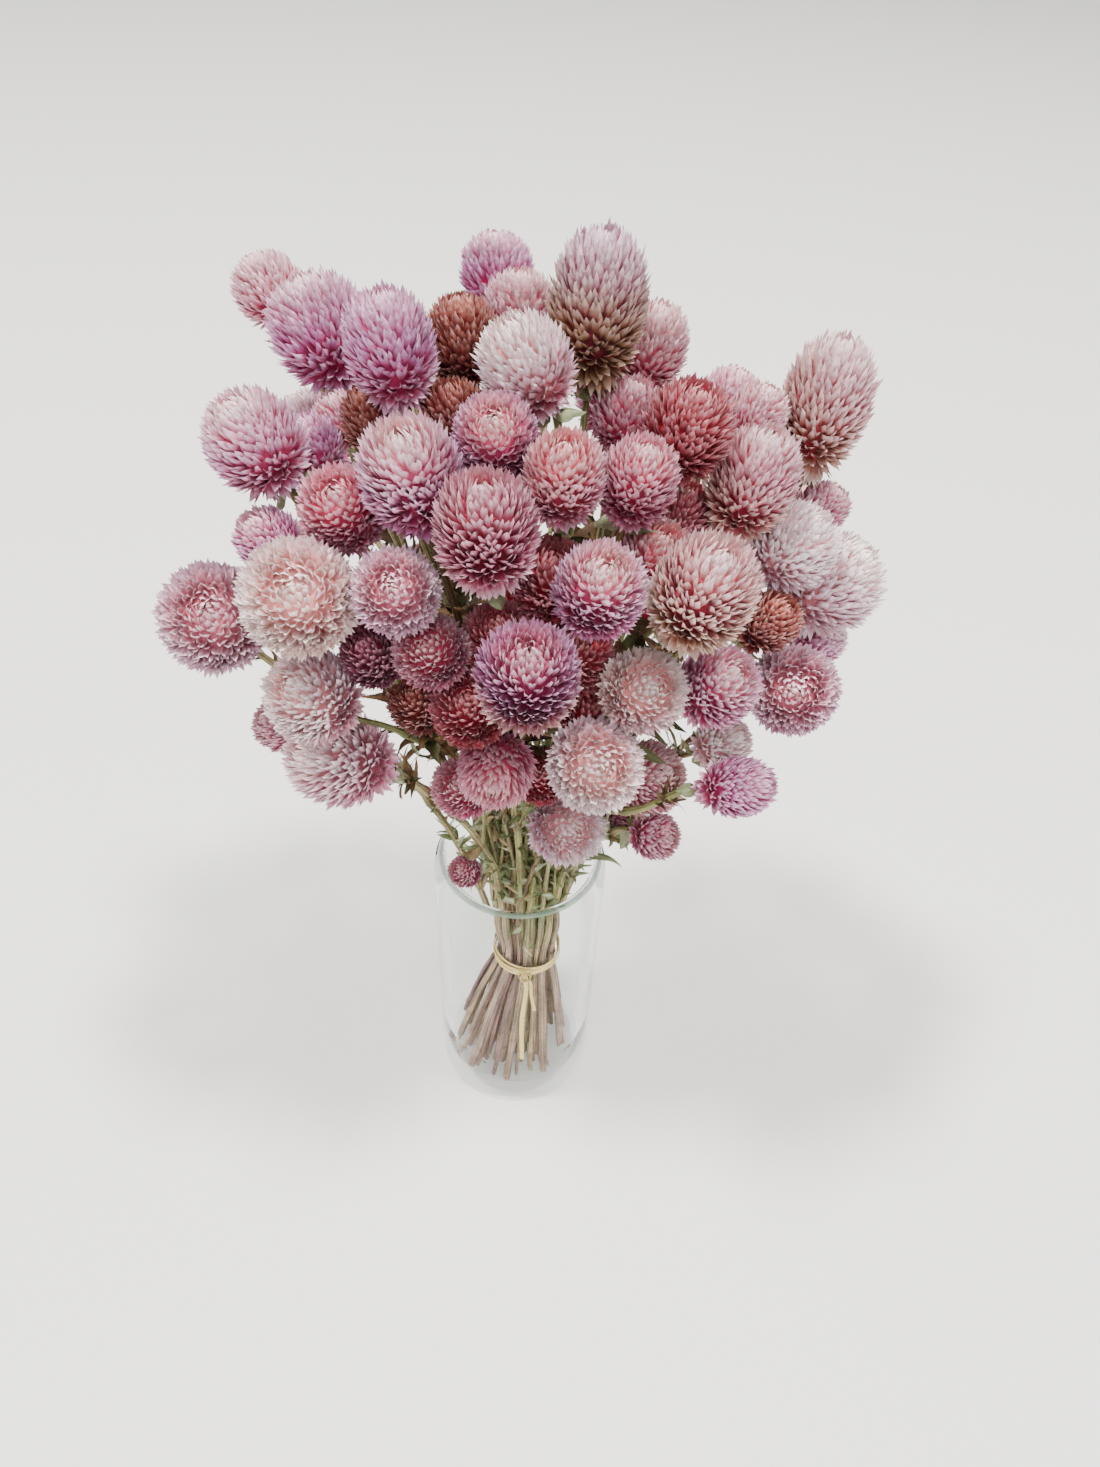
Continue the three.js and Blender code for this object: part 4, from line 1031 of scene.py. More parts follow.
def stem_hairs(heap, line, radius, chance):
    """Short white hairs that stand off the upper stems."""
    _, sides, rises = along_frames(line)
    above = np.flatnonzero(line[:, 2] > HAIR_HEIGHT)
    if len(above) < 3:
        return
    count = int(len(above) * STEM_STEP / HAIR_SPACING)
    place = chance.choice(above[1:-1], count)
    angle = chance.uniform(0, 6.28, count)
    out = np.cos(angle)[:, None] * sides[place] + np.sin(angle)[:, None] * rises[place]
    ahead = np.roll(line, -1, 0)[place] - line[place]
    root = line[place] + out * radius * 0.9 + ahead * chance.uniform(0, 1, count)[:, None]
    tip = root + out * chance.uniform(*HAIR_LENGTHS, count)[:, None] + ahead * 0.35
    across = np.cross(out, ahead)
    across = across / np.linalg.norm(across, axis=1, keepdims=True) * HAIR_HALF_WIDTH
    points = np.stack([root - across, root + across, tip], 1).reshape(-1, 3)
    heap.add(points, np.arange(count * 3).reshape(-1, 3), HAIR_TINT)


def add_stems(settings, material):
    """Each leafy stem with its side branches, in place of its CAD solid, and its twigs."""
    for stem in stems:
        chance = np.random.default_rng(STEM_SEED + stem["number"])
        own = [branch for branch in branches if branch["stem"] is stem]
        tints = STEM_TINTS[int(chance.integers(len(STEM_TINTS)))]
        heap = Heap()
        item = stem["head"]
        forks = [branch["points"][0] for branch in own]
        points = np.vstack([stem["points"][:-1], item["base"] + item["axis"] * SUNK_DEPTH])
        line = stem_tube(heap, points, settings.stem_radius / MM, tints, chance, forks)
        stem_hairs(heap, line, settings.stem_radius / MM, chance)
        for branch in own:
            radius = settings.branch_radius / MM
            line = stem_tube(heap, branch["points"], radius, tints, chance, branch["points"][:1])
            stem_hairs(heap, line, radius, chance)
        for points in stem["twigs"]:
            twig_tints = STEM_TINTS[int(chance.integers(len(STEM_TINTS)))]
            stem_tube(heap, points, chance.uniform(*TWIG_RADII), twig_tints, chance)
        number = f"{stem['number']:02d}"
        heap.piece(f"ridged_stem_{number}", replaces=(f"leafy_stem_{number}",), slot="dry_stem",
                   material=material)


# Leaves

LEAF_TINTS = [
    (0.56, 0.60, 0.45), (0.65, 0.68, 0.54), (0.50, 0.54, 0.38), (0.70, 0.68, 0.55), (0.66, 0.58, 0.43),
    (0.45, 0.49, 0.32), (0.52, 0.56, 0.40),
]
# Dark browns for the leaves up among the heads: partly the dry leaves' own brown, partly painted shade inside
# the bunch
INNER_LEAF_BROWN_AND_SHADE = [(0.42, 0.33, 0.22), (0.34, 0.34, 0.22), (0.50, 0.39, 0.28), (0.34, 0.26, 0.19)]
INNER_LEAF_HEIGHT = 188.0
INNER_LEAF_REACH = np.array([42.0, 34.0])
INNER_LEAF_SIZE = 1.9
SMALL_LEAF_SIZE = 0.9
LEAF_COLUMNS = (-1.0, -0.5, 0.0, 0.5, 1.0)

# Leaves along each stem: from and to a height, and how many
STEM_LEAVES = ((104, 160, 16), (78, 104, 2), (160, 188, 5), (188, 238, 20))
TWIG_LEAVES = 5
TWIG_LEAF_HEIGHT = 108.0
BRANCH_LEAVES = 7
BRANCH_LEAF_SHARE = 0.6

# The CAD solids' leaves: how many ways each is tried, the sizes it is drawn from, and how near its
# solid a leaf's tip has to lie for the solid to carry it
LEAF_TRIES = 6
LEAF_SWING = 1.6
LEAF_TURN = 0.9
LEAF_WIDTH = 5.0
LEAF_LENGTH = 21.0
LEAF_SEED = 17
LEAF_ORDER_SEED = 5
TIP_MISS = 0.5

# A dried leaf against the solid's plain one
CARRIED_LENGTH = 0.75
CARRIED_WIDTH = 0.65

# The leafy pair under a head of common width
LEAFY_BRACT_LENGTH = 7.0
LEAFY_BRACT_WIDTH = 4.6
LEAFY_BRACT_DROP = 1.6


def add_leaf(heap, root, direction, normal, length, width, curl, tint, chance, stations=7):
    """One dry leaf of a tint, lighter along its midrib."""
    vertices, faces, shade = seated_leaf(root, direction, normal, length, width, curl, chance, stations)
    heap.add(vertices, faces, np.array(tint)[None] * (0.78 + 0.42 * shade)[:, None])


def add_crumpled_leaf(heap, line, place, chance):
    """A small dry leaf on a stem: grey-green low down, larger and brown deep in the bunch, where its dark
    brown is partly its own and partly painted shade.
    """
    height = line[place, 2]
    ahead = unit(line[min(place + 1, len(line) - 1)] - line[place - 1])
    angle = chance.uniform(0, 6.28)
    way = np.array([math.cos(angle), math.sin(angle), 0.0])
    direction = unit(way * 0.6 + ahead * chance.uniform(0.5, 1.3))
    # Up among the heads the dark browns stand partly for painted shade
    tints = LEAF_TINTS if height < INNER_LEAF_HEIGHT else INNER_LEAF_BROWN_AND_SHADE
    tint = tints[int(chance.integers(len(tints)))]
    inward = np.hypot(*line[place, :2] / INNER_LEAF_REACH) < 1
    size = INNER_LEAF_SIZE if height > INNER_LEAF_HEIGHT and inward else SMALL_LEAF_SIZE
    add_leaf(heap, line[place], direction, unit(np.cross(ahead, way)), size * chance.uniform(4.5, 10),
             size * chance.uniform(1.6, 3.4), chance.uniform(-1.9, 2.1), tint, chance, 8)


def carried_leaves():
    """The leaves that the CAD solids carry: each candidate whose tip lies on its stem's solid."""
    found = []
    for stem in stems:
        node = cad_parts[f"leafy_stem_{stem['number']:02d}"]
        mesh = node.data
        tree = BVHTree.FromPolygons([v.co for v in mesh.vertices], [p.vertices for p in mesh.polygons])
        forks = [branch["root_point"] for branch in branches if branch["stem"] is stem][:1]
        orders = [(4, 0), (4, 1)] + [(fork, 2) for fork in forks]
        for point, order in orders:
            for leaf in leaf_candidates(stem, point, order):
                tip = leaf["root"] + leaf["direction"] * leaf["length"] - UP * leaf["droop"] * leaf["length"]
                miss = tree.find_nearest(Vector(tip * MM))[3]
                if miss is not None and miss < TIP_MISS * MM:
                    found.append(leaf)
                    break
    return found


def leaf_candidates(stem, point, order):
    """The leaves that a point of a stem may carry, in the order of trying."""
    root = stem["points"][point]
    along = unit(stem["points"][point + 1] - root)
    seed = stem["number"] * LEAF_SEED + order * LEAF_ORDER_SEED
    outward = unit(np.array([root[0], root[1], 0.0]))
    first = unit(outward - along * (outward @ along))
    for attempt in range(LEAF_TRIES):
        turn = (draw(seed) - 0.5) * LEAF_SWING + attempt * LEAF_TURN * (1 if attempt % 2 else -1)
        turned = (first * math.cos(turn) + np.cross(along, first) * math.sin(turn)
                  + along * (along @ first) * (1 - math.cos(turn)))
        yield dict(root=root, direction=unit(turned + along * (0.5 + draw(seed + 1) * 0.7)),
                   width=LEAF_WIDTH * (0.75 + 0.5 * draw(seed + 2)),
                   length=LEAF_LENGTH * (0.65 + 0.6 * draw(seed + 3)), droop=0.15 + 0.5 * draw(seed + 4))


def add_foliage(material):
    """Dry leaves on the stems, crumpled ones round the mouth, and a leafy pair under each head."""
    chance = np.random.default_rng(FOLIAGE_SEED)
    heap = Heap()
    for leaf in carried_leaves():
        tint = LEAF_TINTS[int(chance.integers(len(LEAF_TINTS)))]
        direction = unit(leaf["direction"] - UP * leaf["droop"] * 0.4)
        curl = (1 if chance.uniform() < 0.5 else -1) * chance.uniform(0.7, 1.5)
        add_leaf(heap, leaf["root"], direction, UP, leaf["length"] * CARRIED_LENGTH,
                 leaf["width"] * CARRIED_WIDTH, curl, tint, chance, 12)
    for stem in stems:
        line, _ = smooth_run(stem["points"], STEM_STEP)
        for height in np.concatenate([chance.uniform(*band) for band in STEM_LEAVES]):
            place = min(int(np.argmin(np.abs(line[:, 2] - height))), len(line) - 8)
            add_crumpled_leaf(heap, line, place, chance)
        for points in stem["twigs"]:
            line, _ = smooth_run(points, STEM_STEP)
            above = np.flatnonzero(line[:, 2] > TWIG_LEAF_HEIGHT)[:-1]
            for place in chance.choice(above, TWIG_LEAVES):
                add_crumpled_leaf(heap, line, place, chance)
    for branch in branches:
        line, _ = smooth_run(branch["points"], STEM_STEP)
        for place in chance.integers(1, max(int(len(line) * BRANCH_LEAF_SHARE), 2), BRANCH_LEAVES):
            add_crumpled_leaf(heap, line, place, chance)
    heap.piece("dry_leaves", slot="dry_stem", material=material)
    add_leafy_bracts(material)


def add_leafy_bracts(material):
    """The pair of small leafy bracts under each head."""
    heap = Heap()
    for item in heads:
        chance = np.random.default_rng(LEAFY_BRACT_SEED + item["index"])
        axis = item["axis"]
        side = unit(np.cross(axis, [1.0, 0.0, 0.0]))
        angle = draw(item["index"] + 50) * math.pi
        side = side * math.cos(angle) + np.cross(axis, side) * math.sin(angle)
        size = 0.75 + item["width"] / 60
        for sign in (1, -1):
            direction = unit(side * sign - axis * 0.35)
            root = item["base"] - axis * LEAFY_BRACT_DROP
            tint = LEAF_TINTS[int(chance.integers(3))]
            length = LEAFY_BRACT_LENGTH * size * chance.uniform(0.8, 1.1)
            add_leaf(heap, root, direction, axis, length, LEAFY_BRACT_WIDTH * size,
                     chance.uniform(-0.4, 1.0), tint, chance)
    heap.piece("leafy_bracts", slot="dry_stem", material=material)


# Raffia

RAFFIA_TINTS = [(0.88, 0.78, 0.50), (0.84, 0.73, 0.45), (0.90, 0.81, 0.56), (0.80, 0.68, 0.42)]
STRAND_COUNT = 5
STRAND_SECTION = (1.5, 0.55)
KNOT_LOOPS = 3
KNOT_SECTION = (1.7, 0.6)
TAIL_THICKNESS = 0.5
RIBBON_COLUMNS = np.array([-1, -0.6, -0.2, 0.2, 0.6, 1.0])

# The two ends: how far out and down each hangs, as shares, its way aside and its width
RAFFIA_ENDS = ((1.0, 1.0, 0.4, 1.9), (0.72, 0.30, 4.2, 1.3))


def ribbon(heap, line, width, thickness, across, tint, chance):
    """A flat fibrous strand along a line, lying across the given directions."""
    ahead = np.gradient(line, axis=0)
    ahead /= np.linalg.norm(ahead, axis=1, keepdims=True)
    across = across - ahead * (ahead * across).sum(1, keepdims=True)
    across /= np.linalg.norm(across, axis=1, keepdims=True)
    up = np.cross(ahead, across)
    columns = RIBBON_COLUMNS
    fibres = chance.uniform(0.55, 1.0, len(columns))
    over = [line + across * (width / 2 * c) + up * (thickness / 2 * f * (1 - 0.6 * c * c))[..., None]
            for c, f in zip(columns, np.repeat(fibres[:, None], len(line), 1))]
    under = [line + across * (width / 2 * c) - up * (thickness / 2 * 0.6 * (1 - 0.6 * c * c))
             for c in columns[::-1]]
    rings = np.stack(over + under, 1)
    # Painted shade and light: the under face is darker, and on the upper face each fibre is lighter the
    # higher it stands, partly its own tone
    shade = np.concatenate([0.86 + 0.2 * fibres, np.full(len(columns), 0.85)])
    tints = np.array(tint)[None, None, :] * shade[None, :, None] * np.ones((len(line), 1, 1))
    heap.add(rings.reshape(-1, 3), band_faces(*rings.shape[:2]), tints.reshape(-1, 3))


def add_raffia(material):
    """The tie: strands wound round the bunch, a knot in front and ends that hang down."""
    chance = np.random.default_rng(RAFFIA_SEED)
    heap = Heap()
    centre = np.array([TIE_MIDDLE[0], TIE_MIDDLE[1], TIE_HEIGHT])
    for strand in range(STRAND_COUNT):
        turn = np.linspace(0, 2 * math.pi, 97)
        lift = -1.7 + 0.85 * strand + 0.5 * np.sin(turn + chance.uniform(0, 6)) * 0.6
        reach = TIE_INNER_RADIUS + 0.7 + 0.35 * np.sin(turn * 2 + strand * 2.2) + 0.25 * (strand % 2)
        line = centre + np.stack([reach * np.cos(turn), reach * np.sin(turn), lift], 1)
        tint = RAFFIA_TINTS[strand % len(RAFFIA_TINTS)]
        ribbon(heap, line, *STRAND_SECTION, np.broadcast_to(UP, line.shape), tint, chance)
    front = centre + np.array([0, -(TIE_INNER_RADIUS + TIE_THICKNESS), 0])
    for loop in range(KNOT_LOOPS):
        turn = np.linspace(-0.4, 2 * math.pi + 0.4, 49)
        tilt = 0.5 * (loop - 1)
        line = front + np.stack([
            2.0 * np.cos(turn) * math.cos(tilt) + 0.5 * (loop - 1),
            -0.7 - 1.0 * np.cos(turn + loop) * 0.8,
            1.9 * np.sin(turn) + 2.0 * np.cos(turn) * math.sin(tilt),
        ], 1)
        across = np.stack([0.2 * np.cos(turn), -np.ones_like(turn), 0.2 * np.sin(turn)], 1)
        ribbon(heap, line, *KNOT_SECTION, across, RAFFIA_TINTS[loop], chance)
    start = front + np.array([0, -TIE_THICKNESS * 0.3, -0.5])
    for out, drop, sway, width in RAFFIA_ENDS:
        corners = np.array([
            start,
            start + np.array([sway * 0.4 + 0.6, -1.4, -TAIL_DROP * 0.15 * drop]),
            start + np.array([sway * 0.8 - 0.6, -TAIL_OUT * 0.6 * out, -TAIL_DROP * 0.55 * drop]),
            start + np.array([sway, -TAIL_OUT * out, -TAIL_DROP * drop]),
        ])
        line, run = smooth_run(corners, 1.0)
        turn = 0.5 * np.sin(run * 0.11 + sway)
        across = np.stack([np.cos(turn), np.sin(turn), 0.1 * np.sin(run * 0.3)], 1)
        ribbon(heap, line, width, TAIL_THICKNESS, across, RAFFIA_TINTS[0], chance)
    heap.piece("raffia_wrap", replaces=("raffia_tie",), slot="raffia", material=material)


# Glass

GLASS_SEGMENTS = 128
CORNER_RADIUS = FOOT_BEVEL * 1.6
LIP_ROUND = LIP_HALF_WIDTH * 1.25
LIP_DROP = 1.2
FOOT_GLASS_HEIGHT = 24.0
CLEAR_TINT = (0.99, 1.0, 0.99)
LIP_TINT = (0.55, 0.69, 0.58)


def vase_profile():
    """The glass in section, from the middle of its foot round the lip to the middle of its floor."""
    foot = [(0.0, 0.9), (6.0, 0.85), (16.0, 0.7), (23.0, 0.45), (25.6, 0.0)]
    corner = [(VASE_RADIUS - CORNER_RADIUS, 0.0)]
    for angle in -math.pi / 2 + np.arange(1, 7) * math.pi / 12:
        corner.append((VASE_RADIUS - CORNER_RADIUS * (1 - math.cos(angle)),
                       CORNER_RADIUS * (1 + math.sin(angle))))
    side = [(VASE_RADIUS, height) for height in np.linspace(8, VASE_HEIGHT - SHOULDER_HEIGHT, 12)]
    a = np.array([VASE_RADIUS, VASE_HEIGHT - SHOULDER_HEIGHT])
    b = np.array([VASE_RADIUS, VASE_HEIGHT - SHOULDER_HEIGHT * 0.35])
    c = np.array([LIP_RADIUS + LIP_HALF_WIDTH * 1.9, VASE_HEIGHT - SHOULDER_HEIGHT * 0.2])
    d = np.array([LIP_RADIUS + LIP_ROUND, VASE_HEIGHT - LIP_DROP])
    shoulder = [tuple(point) for point in bezier((a, b, c, d), 12)[1:]]
    lip = []
    for angle in np.arange(1, 9) * math.pi / 8:
        lip.append((LIP_RADIUS + 0.1 + LIP_ROUND * math.cos(angle),
                    VASE_HEIGHT - LIP_DROP + LIP_DROP * math.sin(angle)))
    bore = [(BORE_RADIUS, VASE_HEIGHT - 4.0)]
    bore += [(BORE_RADIUS, height) for height in np.linspace(VASE_HEIGHT - 14, FLOOR_THICKNESS + 5, 10)]
    bowl = [(BORE_RADIUS - 0.3, FLOOR_THICKNESS + 2.6), (BORE_RADIUS - 1.2, FLOOR_THICKNESS + 1.0),
            (BORE_RADIUS - 3.0, FLOOR_THICKNESS + 0.3), (18.0, FLOOR_THICKNESS), (8.0, FLOOR_THICKNESS),
            (0.0, FLOOR_THICKNESS)]
    return np.array(foot + corner + side + shoulder + lip + bore + bowl, float)


def add_vase(material, lip_material, foot_material):
    """The glass vase, turned from its section."""
    profile = vase_profile()
    inner = profile[1:-1]
    turn = np.arange(GLASS_SEGMENTS) * 2 * math.pi / GLASS_SEGMENTS
    rings = np.stack([inner[:, None, 0] * np.cos(turn), inner[:, None, 0] * np.sin(turn),
                      np.broadcast_to(inner[:, None, 1], (len(inner), GLASS_SEGMENTS))], 2)
    vertices = np.vstack([rings.reshape(-1, 3), [[0, 0, profile[0, 1]]], [[0, 0, profile[-1, 1]]]])
    fans = end_fans(0, len(vertices) - 2, (len(inner) - 1) * GLASS_SEGMENTS, len(vertices) - 1,
                    GLASS_SEGMENTS)
    faces = np.vstack([halved(band_faces(len(inner), GLASS_SEGMENTS)), fans])
    out = np.hypot(vertices[:, 0], vertices[:, 1])
    on_lip = (vertices[:, 2] > VASE_HEIGHT - LIP_HALF_WIDTH * 1.2) & (out > LIP_RADIUS - 0.25)
    tints = np.where(on_lip[:, None], LIP_TINT, CLEAR_TINT)
    vase = add_piece("glass_vase", vertices, faces, tints, replaces=("vase",), slot="clear_glass",
                     material=material)
    vase.data.materials.append(lip_material)
    vase.data.materials.append(foot_material)
    in_foot = vertices[:, 2] < FOOT_GLASS_HEIGHT
    kind = np.where(on_lip[faces].all(1), 1, np.where(in_foot[faces].all(1), 2, 0))
    vase.data.polygons.foreach_set("material_index", kind.astype(np.int32))


# Materials

def new_material(name):
    """A material with its nodes, links and main shader."""
    material = bpy.data.materials.new(name)
    material.use_nodes = True
    nodes = material.node_tree.nodes
    return material, nodes, material.node_tree.links, nodes["Principled BSDF"]


def add_node(nodes, kind, values=None):
    """A node with the values of its named inputs."""
    node = nodes.new(kind)
    for name, value in (values or {}).items():
        node.inputs[name].default_value = value
    return node


def corner_tint(nodes):
    """The tint that each corner of the mesh carries."""
    tint = nodes.new("ShaderNodeAttribute")
    tint.attribute_name = "tint"
    return tint.outputs["Color"]


def tinted(nodes, links, scale, low, high, detail=4.0, stretch=None):
    """The corner tint, mottled by a fine noise; also gives the noise."""
    where = nodes.new("ShaderNodeTexCoord").outputs["Object"]
    if stretch:
        mapping = add_node(nodes, "ShaderNodeMapping", {"Scale": stretch})
        links.new(where, mapping.inputs["Vector"])
        where = mapping.outputs["Vector"]
    noise = add_node(nodes, "ShaderNodeTexNoise", {"Scale": scale, "Detail": detail})
    links.new(where, noise.inputs["Vector"])
    spread = add_node(nodes, "ShaderNodeMapRange",
                      {"From Min": 0.3, "From Max": 0.7, "To Min": low, "To Max": high})
    links.new(noise.outputs["Fac"], spread.inputs["Value"])
    grey = nodes.new("ShaderNodeCombineColor")
    for channel in ("Red", "Green", "Blue"):
        links.new(spread.outputs["Result"], grey.inputs[channel])
    shade = nodes.new("ShaderNodeMix")
    shade.data_type = "RGBA"
    shade.blend_type = "MULTIPLY"
    shade.inputs["Factor"].default_value = 1.0
    links.new(corner_tint(nodes), shade.inputs["A"])
    links.new(grey.outputs["Color"], shade.inputs["B"])
    return shade.outputs["Result"], noise.outputs["Fac"]


def roughen(nodes, links, shader, noise, low, high, bump, distance):
    """Roughness between two values and a fine relief, both by the noise."""
    rough = add_node(nodes, "ShaderNodeMapRange", {"To Min": low, "To Max": high})
    links.new(noise, rough.inputs["Value"])
    links.new(rough.outputs["Result"], shader.inputs["Roughness"])
    relief = add_node(nodes, "ShaderNodeBump", {"Strength": bump, "Distance": distance})
    links.new(noise, relief.inputs["Height"])
    links.new(relief.outputs["Normal"], shader.inputs["Normal"])


def dry_finish(name, scale, mottle, detail, rough, relief, specular, stretch=None):
    """A dry plant skin: mottled corner tints, with roughness and relief from the same noise."""
    material, nodes, links, shader = new_material(name)
    colour, noise = tinted(nodes, links, scale, *mottle, detail, stretch)
    links.new(colour, shader.inputs["Base Color"])
    roughen(nodes, links, shader, noise, *rough, *relief)
    shader.inputs["Specular IOR Level"].default_value = specular
    return material


def bract_finish():
    """Matt paper with a faint sheen."""
    material = dry_finish("papery_bracts", 1400.0, (0.88, 1.08), 4.0, (0.45, 0.7), (0.25, 0.0002), 0.35)
    shader = material.node_tree.nodes["Principled BSDF"]
    shader.inputs["Sheen Weight"].default_value = 0.12
    shader.inputs["Sheen Roughness"].default_value = 0.5
    return material


def stem_finish():
    """Rough, mottled stalks."""
    return dry_finish("dry_stems", 700.0, (0.72, 1.18), 6.0, (0.5, 0.85), (0.35, 0.0003), 0.3)


def leaf_finish():
    """Dull, crumpled leaves."""
    return dry_finish("dry_leaves", 900.0, (0.75, 1.15), 6.0, (0.6, 0.9), (0.5, 0.0004), 0.25)


def raffia_finish():
    """Raffia, whose noise is drawn out along the strands."""
    return dry_finish("raffia_fibre", 1.0, (0.82, 1.1), 6.0, (0.5, 0.75), (0.4, 0.0002), 0.5,
                      (700.0, 700.0, 2200.0))


def glass_finish(name, straight):
    """Clear glass that lets a share of the light straight through."""
    material, nodes, links, shader = new_material(name)
    links.new(corner_tint(nodes), shader.inputs["Base Color"])
    shader.inputs["Transmission Weight"].default_value = 1.0
    shader.inputs["IOR"].default_value = 1.05
    smears = add_node(nodes, "ShaderNodeTexNoise", {"Scale": 60.0})
    links.new(nodes.new("ShaderNodeTexCoord").outputs["Object"], smears.inputs["Vector"])
    roughen(nodes, links, shader, smears.outputs["Fac"], 0.0, 0.02, 0.02, 0.0005)
    if straight > 0:
        clear = nodes.new("ShaderNodeBsdfTransparent")
        share = add_node(nodes, "ShaderNodeMixShader", {"Fac": straight})
        links.new(shader.outputs["BSDF"], share.inputs[1])
        links.new(clear.outputs["BSDF"], share.inputs[2])
        links.new(share.outputs["Shader"], nodes["Material Output"].inputs["Surface"])
    return material


def lip_finish():
    """The lip's greener glass, half seen through."""
    material, nodes, links, shader = new_material("lip_glass")
    colour, noise = tinted(nodes, links, 80.0, 0.95, 1.05)
    links.new(colour, shader.inputs["Base Color"])
    roughen(nodes, links, shader, noise, 0.05, 0.12, 0.02, 0.0005)
    shader.inputs["Alpha"].default_value = 0.72
    return material


def floor_finish(colour):
    """The pale floor, which ends in the room's brightness far from the vase."""
    material, nodes, links, shader = new_material("pale_floor")
    shader.inputs["Base Color"].default_value = (*colour, 1)
    shader.inputs["Roughness"].default_value = 0.6
    shader.inputs["Specular IOR Level"].default_value = 0.2
    far = nodes.new("ShaderNodeVectorMath")
    far.operation = "LENGTH"
    links.new(nodes.new("ShaderNodeTexCoord").outputs["Object"], far.inputs[0])
    fade = add_node(nodes, "ShaderNodeMapRange",
                    {"From Min": FLOOR_FADE[0], "From Max": FLOOR_FADE[1], "To Min": 1.0, "To Max": 0.0})
    fade.interpolation_type = "SMOOTHSTEP"
    links.new(far.outputs["Value"], fade.inputs["Value"])
    links.new(fade.outputs["Result"], shader.inputs["Alpha"])
    return material


# Stage

FLOOR_REACH = 6.0
FLOOR_FADE = (2.5, 4.4)
LAMP_AIM = (0.0, 0.0, 0.15)
SENSOR_WIDTH = 36.0

# Each lamp: name, place, size, share of the power and colour
LAMPS = (
    ("left_lamp", (-1.3, -0.35, 3.5), 0.6, 1.0, (1, 0.985, 0.96)),
    ("right_lamp", (1.05, -0.35, 3.5), 0.6, 0.9, (1, 0.98, 0.95)),
    ("window_lamp", (0.3, -2.2, 2.6), 1.8, 0.25, (0.97, 0.98, 1)),
)


def add_floor(colour):
    """The floor that the vase stands on, which is no part of it."""
    mesh = bpy.data.meshes.new("pale_floor")
    corners = [(x * FLOOR_REACH, y * FLOOR_REACH, 0) for x, y in ((-1, -1), (1, -1), (1, 1), (-1, 1))]
    mesh.from_pydata(corners, [], [(0, 1, 2, 3)])
    mesh.materials.append(floor_finish(colour))
    floor = bpy.data.objects.new("pale_floor", mesh)
    bpy.context.scene.collection.objects.link(floor)


def add_lamp(name, place, size, power, colour):
    """A round lamp that faces the bunch."""
    light = bpy.data.lights.new(name, "AREA")
    light.shape = "DISK"
    light.size = size
    light.energy = power
    light.color = colour
    lamp = bpy.data.objects.new(name, light)
    lamp.location = place
    lamp.rotation_euler = (Vector(LAMP_AIM) - Vector(place)).to_track_quat("-Z", "Y").to_euler()
    bpy.context.scene.collection.objects.link(lamp)


def add_camera():
    """The eye at the picture's place, pitch and roll."""
    camera = bpy.data.cameras.new("view")
    camera.sensor_fit = "HORIZONTAL"
    camera.sensor_width = SENSOR_WIDTH
    camera.lens = SENSOR_WIDTH * PICTURE_FOCUS / PICTURE_WIDTH
    camera.clip_start = 0.01
    camera.clip_end = 50.0
    view = bpy.data.objects.new("view", camera)
    turned = np.stack([RIGHT, ABOVE, -FORWARD, EYE * MM], 1)
    view.matrix_world = Matrix([*turned.tolist(), (0, 0, 0, 1)])
    bpy.context.scene.collection.objects.link(view)
    bpy.context.scene.camera = view


def add_daylight(strength, mirrored):
    """A soft room, dim as a lamp but bright where it is seen, mirrored or seen through glass."""
    world = bpy.data.worlds.new("soft_room")
    world.use_nodes = True
    nodes, links = world.node_tree.nodes, world.node_tree.links
    room = nodes["Background"]
    room.inputs["Color"].default_value = (0.95, 0.96, 1.0, 1)
    room.inputs["Strength"].default_value = strength
    seen = nodes.new("ShaderNodeBackground")
    seen.inputs["Strength"].default_value = mirrored
    ray = nodes.new("ShaderNodeLightPath")
    straight = ray.outputs["Is Camera Ray"]
    for kind in ("Is Glossy Ray", "Is Transmission Ray"):
        either = nodes.new("ShaderNodeMath")
        either.operation = "MAXIMUM"
        links.new(straight, either.inputs[0])
        links.new(ray.outputs[kind], either.inputs[1])
        straight = either.outputs["Value"]
    share = nodes.new("ShaderNodeMixShader")
    links.new(straight, share.inputs["Fac"])
    links.new(room.outputs["Background"], share.inputs[1])
    links.new(seen.outputs["Background"], share.inputs[2])
    links.new(share.outputs["Shader"], nodes["World Output"].inputs["Surface"])
    bpy.context.scene.world = world


# The add-on

class AmaranthBunch(bpy.types.PropertyGroup):
    """Sizes of the heads and stems"""
    bract_spacing: bpy.props.FloatProperty(
        name="Bract spacing", description="How far apart the pairs of bracts lie on a head",
        default=0.0024, min=0.001, max=0.006, unit="LENGTH", precision=5)
    tip_reach: bpy.props.FloatProperty(
        name="Tip reach", description="How far the bracts' tips stand out, as a share of the head's radius",
        default=1.12, min=0.9, max=1.3, subtype="FACTOR")
    stem_radius: bpy.props.FloatProperty(
        name="Stem radius", description="Radius of the main stems",
        default=STEM_RADIUS * MM, min=0.0005, max=0.003, unit="LENGTH", precision=5)
    branch_radius: bpy.props.FloatProperty(
        name="Side branch radius", description="Radius of the side branches",
        default=BRANCH_RADIUS * MM, min=0.0004, max=0.002, unit="LENGTH", precision=5)


class AmaranthStage(bpy.types.PropertyGroup):
    """Floor and light"""
    floor_colour: bpy.props.FloatVectorProperty(
        name="Floor colour", description="Colour of the floor", default=(0.84, 0.83, 0.81),
        min=0, max=1, subtype="COLOR")
    daylight: bpy.props.FloatProperty(
        name="Daylight", description="Strength of the room's soft light", default=0.15, min=0, max=5)
    mirrored_light: bpy.props.FloatProperty(
        name="Mirrored light", description="Strength of the room as it is seen and mirrored",
        default=2.2, min=0, max=9)
    lamp_power: bpy.props.FloatProperty(
        name="Lamp power", description="Power of the larger lamp", default=220.0, min=0, max=900,
        unit="POWER")


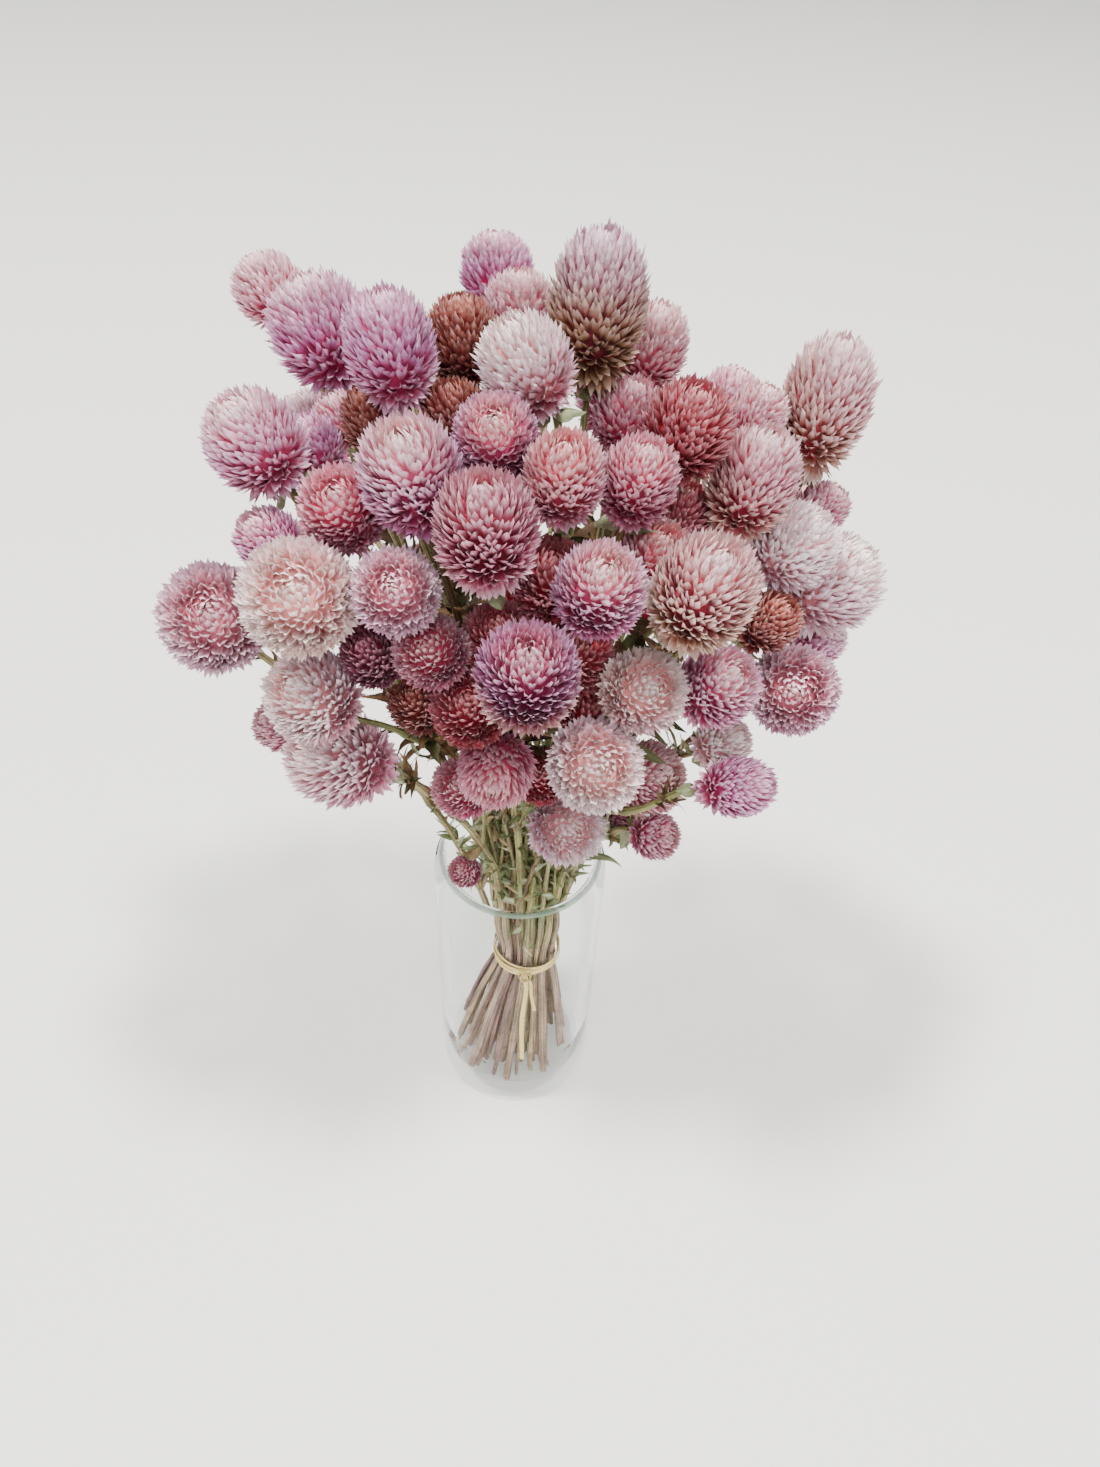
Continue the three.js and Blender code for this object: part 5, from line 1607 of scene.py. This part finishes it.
class AMARANTH_OT_vase(bpy.types.Operator):
    """Turn the clear glass vase"""
    bl_idname = "amaranth.vase"
    bl_label = "Glass Vase"

    def execute(self, context):
        add_vase(glass_finish("clear_glass", 0.0), lip_finish(), glass_finish("foot_glass", 0.75))
        return {"FINISHED"}


class AMARANTH_OT_stems(bpy.types.Operator):
    """Grow the ridged stems and their side branches"""
    bl_idname = "amaranth.stems"
    bl_label = "Stems"

    def execute(self, context):
        add_stems(context.scene.amaranth_bunch, stem_finish())
        return {"FINISHED"}


class AMARANTH_OT_leaves(bpy.types.Operator):
    """Grow the dry leaves and the leafy pair under each head"""
    bl_idname = "amaranth.leaves"
    bl_label = "Leaves"

    def execute(self, context):
        add_foliage(leaf_finish())
        return {"FINISHED"}


class AMARANTH_OT_heads(bpy.types.Operator):
    """Cover the heads in papery bracts"""
    bl_idname = "amaranth.heads"
    bl_label = "Flower Heads"

    def execute(self, context):
        add_heads(context.scene.amaranth_bunch, bract_finish())
        return {"FINISHED"}


class AMARANTH_OT_raffia(bpy.types.Operator):
    """Wind the raffia tie round the bunch"""
    bl_idname = "amaranth.raffia"
    bl_label = "Raffia Tie"

    def execute(self, context):
        add_raffia(raffia_finish())
        return {"FINISHED"}


class AMARANTH_OT_stage(bpy.types.Operator):
    """Lay the floor and set the light and the camera"""
    bl_idname = "amaranth.stage"
    bl_label = "Floor, Light and Camera"

    def execute(self, context):
        settings = context.scene.amaranth_stage
        add_floor(settings.floor_colour)
        add_daylight(settings.daylight, settings.mirrored_light)
        for name, place, size, share, colour in LAMPS:
            add_lamp(name, place, size, settings.lamp_power * share, colour)
        add_camera()
        return {"FINISHED"}


class AMARANTH_PT_panel(bpy.types.Panel):
    """The bunch's sizes and making steps"""
    bl_idname = "AMARANTH_PT_panel"
    bl_label = "Dried Globe Amaranth"
    bl_space_type = "VIEW_3D"
    bl_region_type = "UI"
    bl_category = "Amaranth"

    def draw(self, context):
        layout = self.layout
        for name in ("bract_spacing", "tip_reach", "stem_radius", "branch_radius"):
            layout.prop(context.scene.amaranth_bunch, name)
        for name in ("floor_colour", "daylight", "mirrored_light", "lamp_power"):
            layout.prop(context.scene.amaranth_stage, name)
        for operator in OPERATORS:
            layout.operator(operator.bl_idname)


OPERATORS = (AMARANTH_OT_stage, AMARANTH_OT_vase, AMARANTH_OT_raffia, AMARANTH_OT_stems, AMARANTH_OT_leaves,
             AMARANTH_OT_heads)
CLASSES = (AmaranthBunch, AmaranthStage, *OPERATORS, AMARANTH_PT_panel)


def register():
    """Takes up the classes and settings."""
    for item in CLASSES:
        bpy.utils.register_class(item)
    bpy.types.Scene.amaranth_bunch = bpy.props.PointerProperty(type=AmaranthBunch)
    bpy.types.Scene.amaranth_stage = bpy.props.PointerProperty(type=AmaranthStage)


def unregister():
    """Gives back what register took up."""
    del bpy.types.Scene.amaranth_stage
    del bpy.types.Scene.amaranth_bunch
    for item in reversed(CLASSES):
        bpy.utils.unregister_class(item)


def main():
    """Makes every piece by its operator."""
    register()
    bpy.ops.amaranth.stage()
    bpy.ops.amaranth.vase()
    bpy.ops.amaranth.raffia()
    bpy.ops.amaranth.stems()
    bpy.ops.amaranth.leaves()
    bpy.ops.amaranth.heads()
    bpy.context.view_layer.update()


if __name__ == "__main__":
    main()
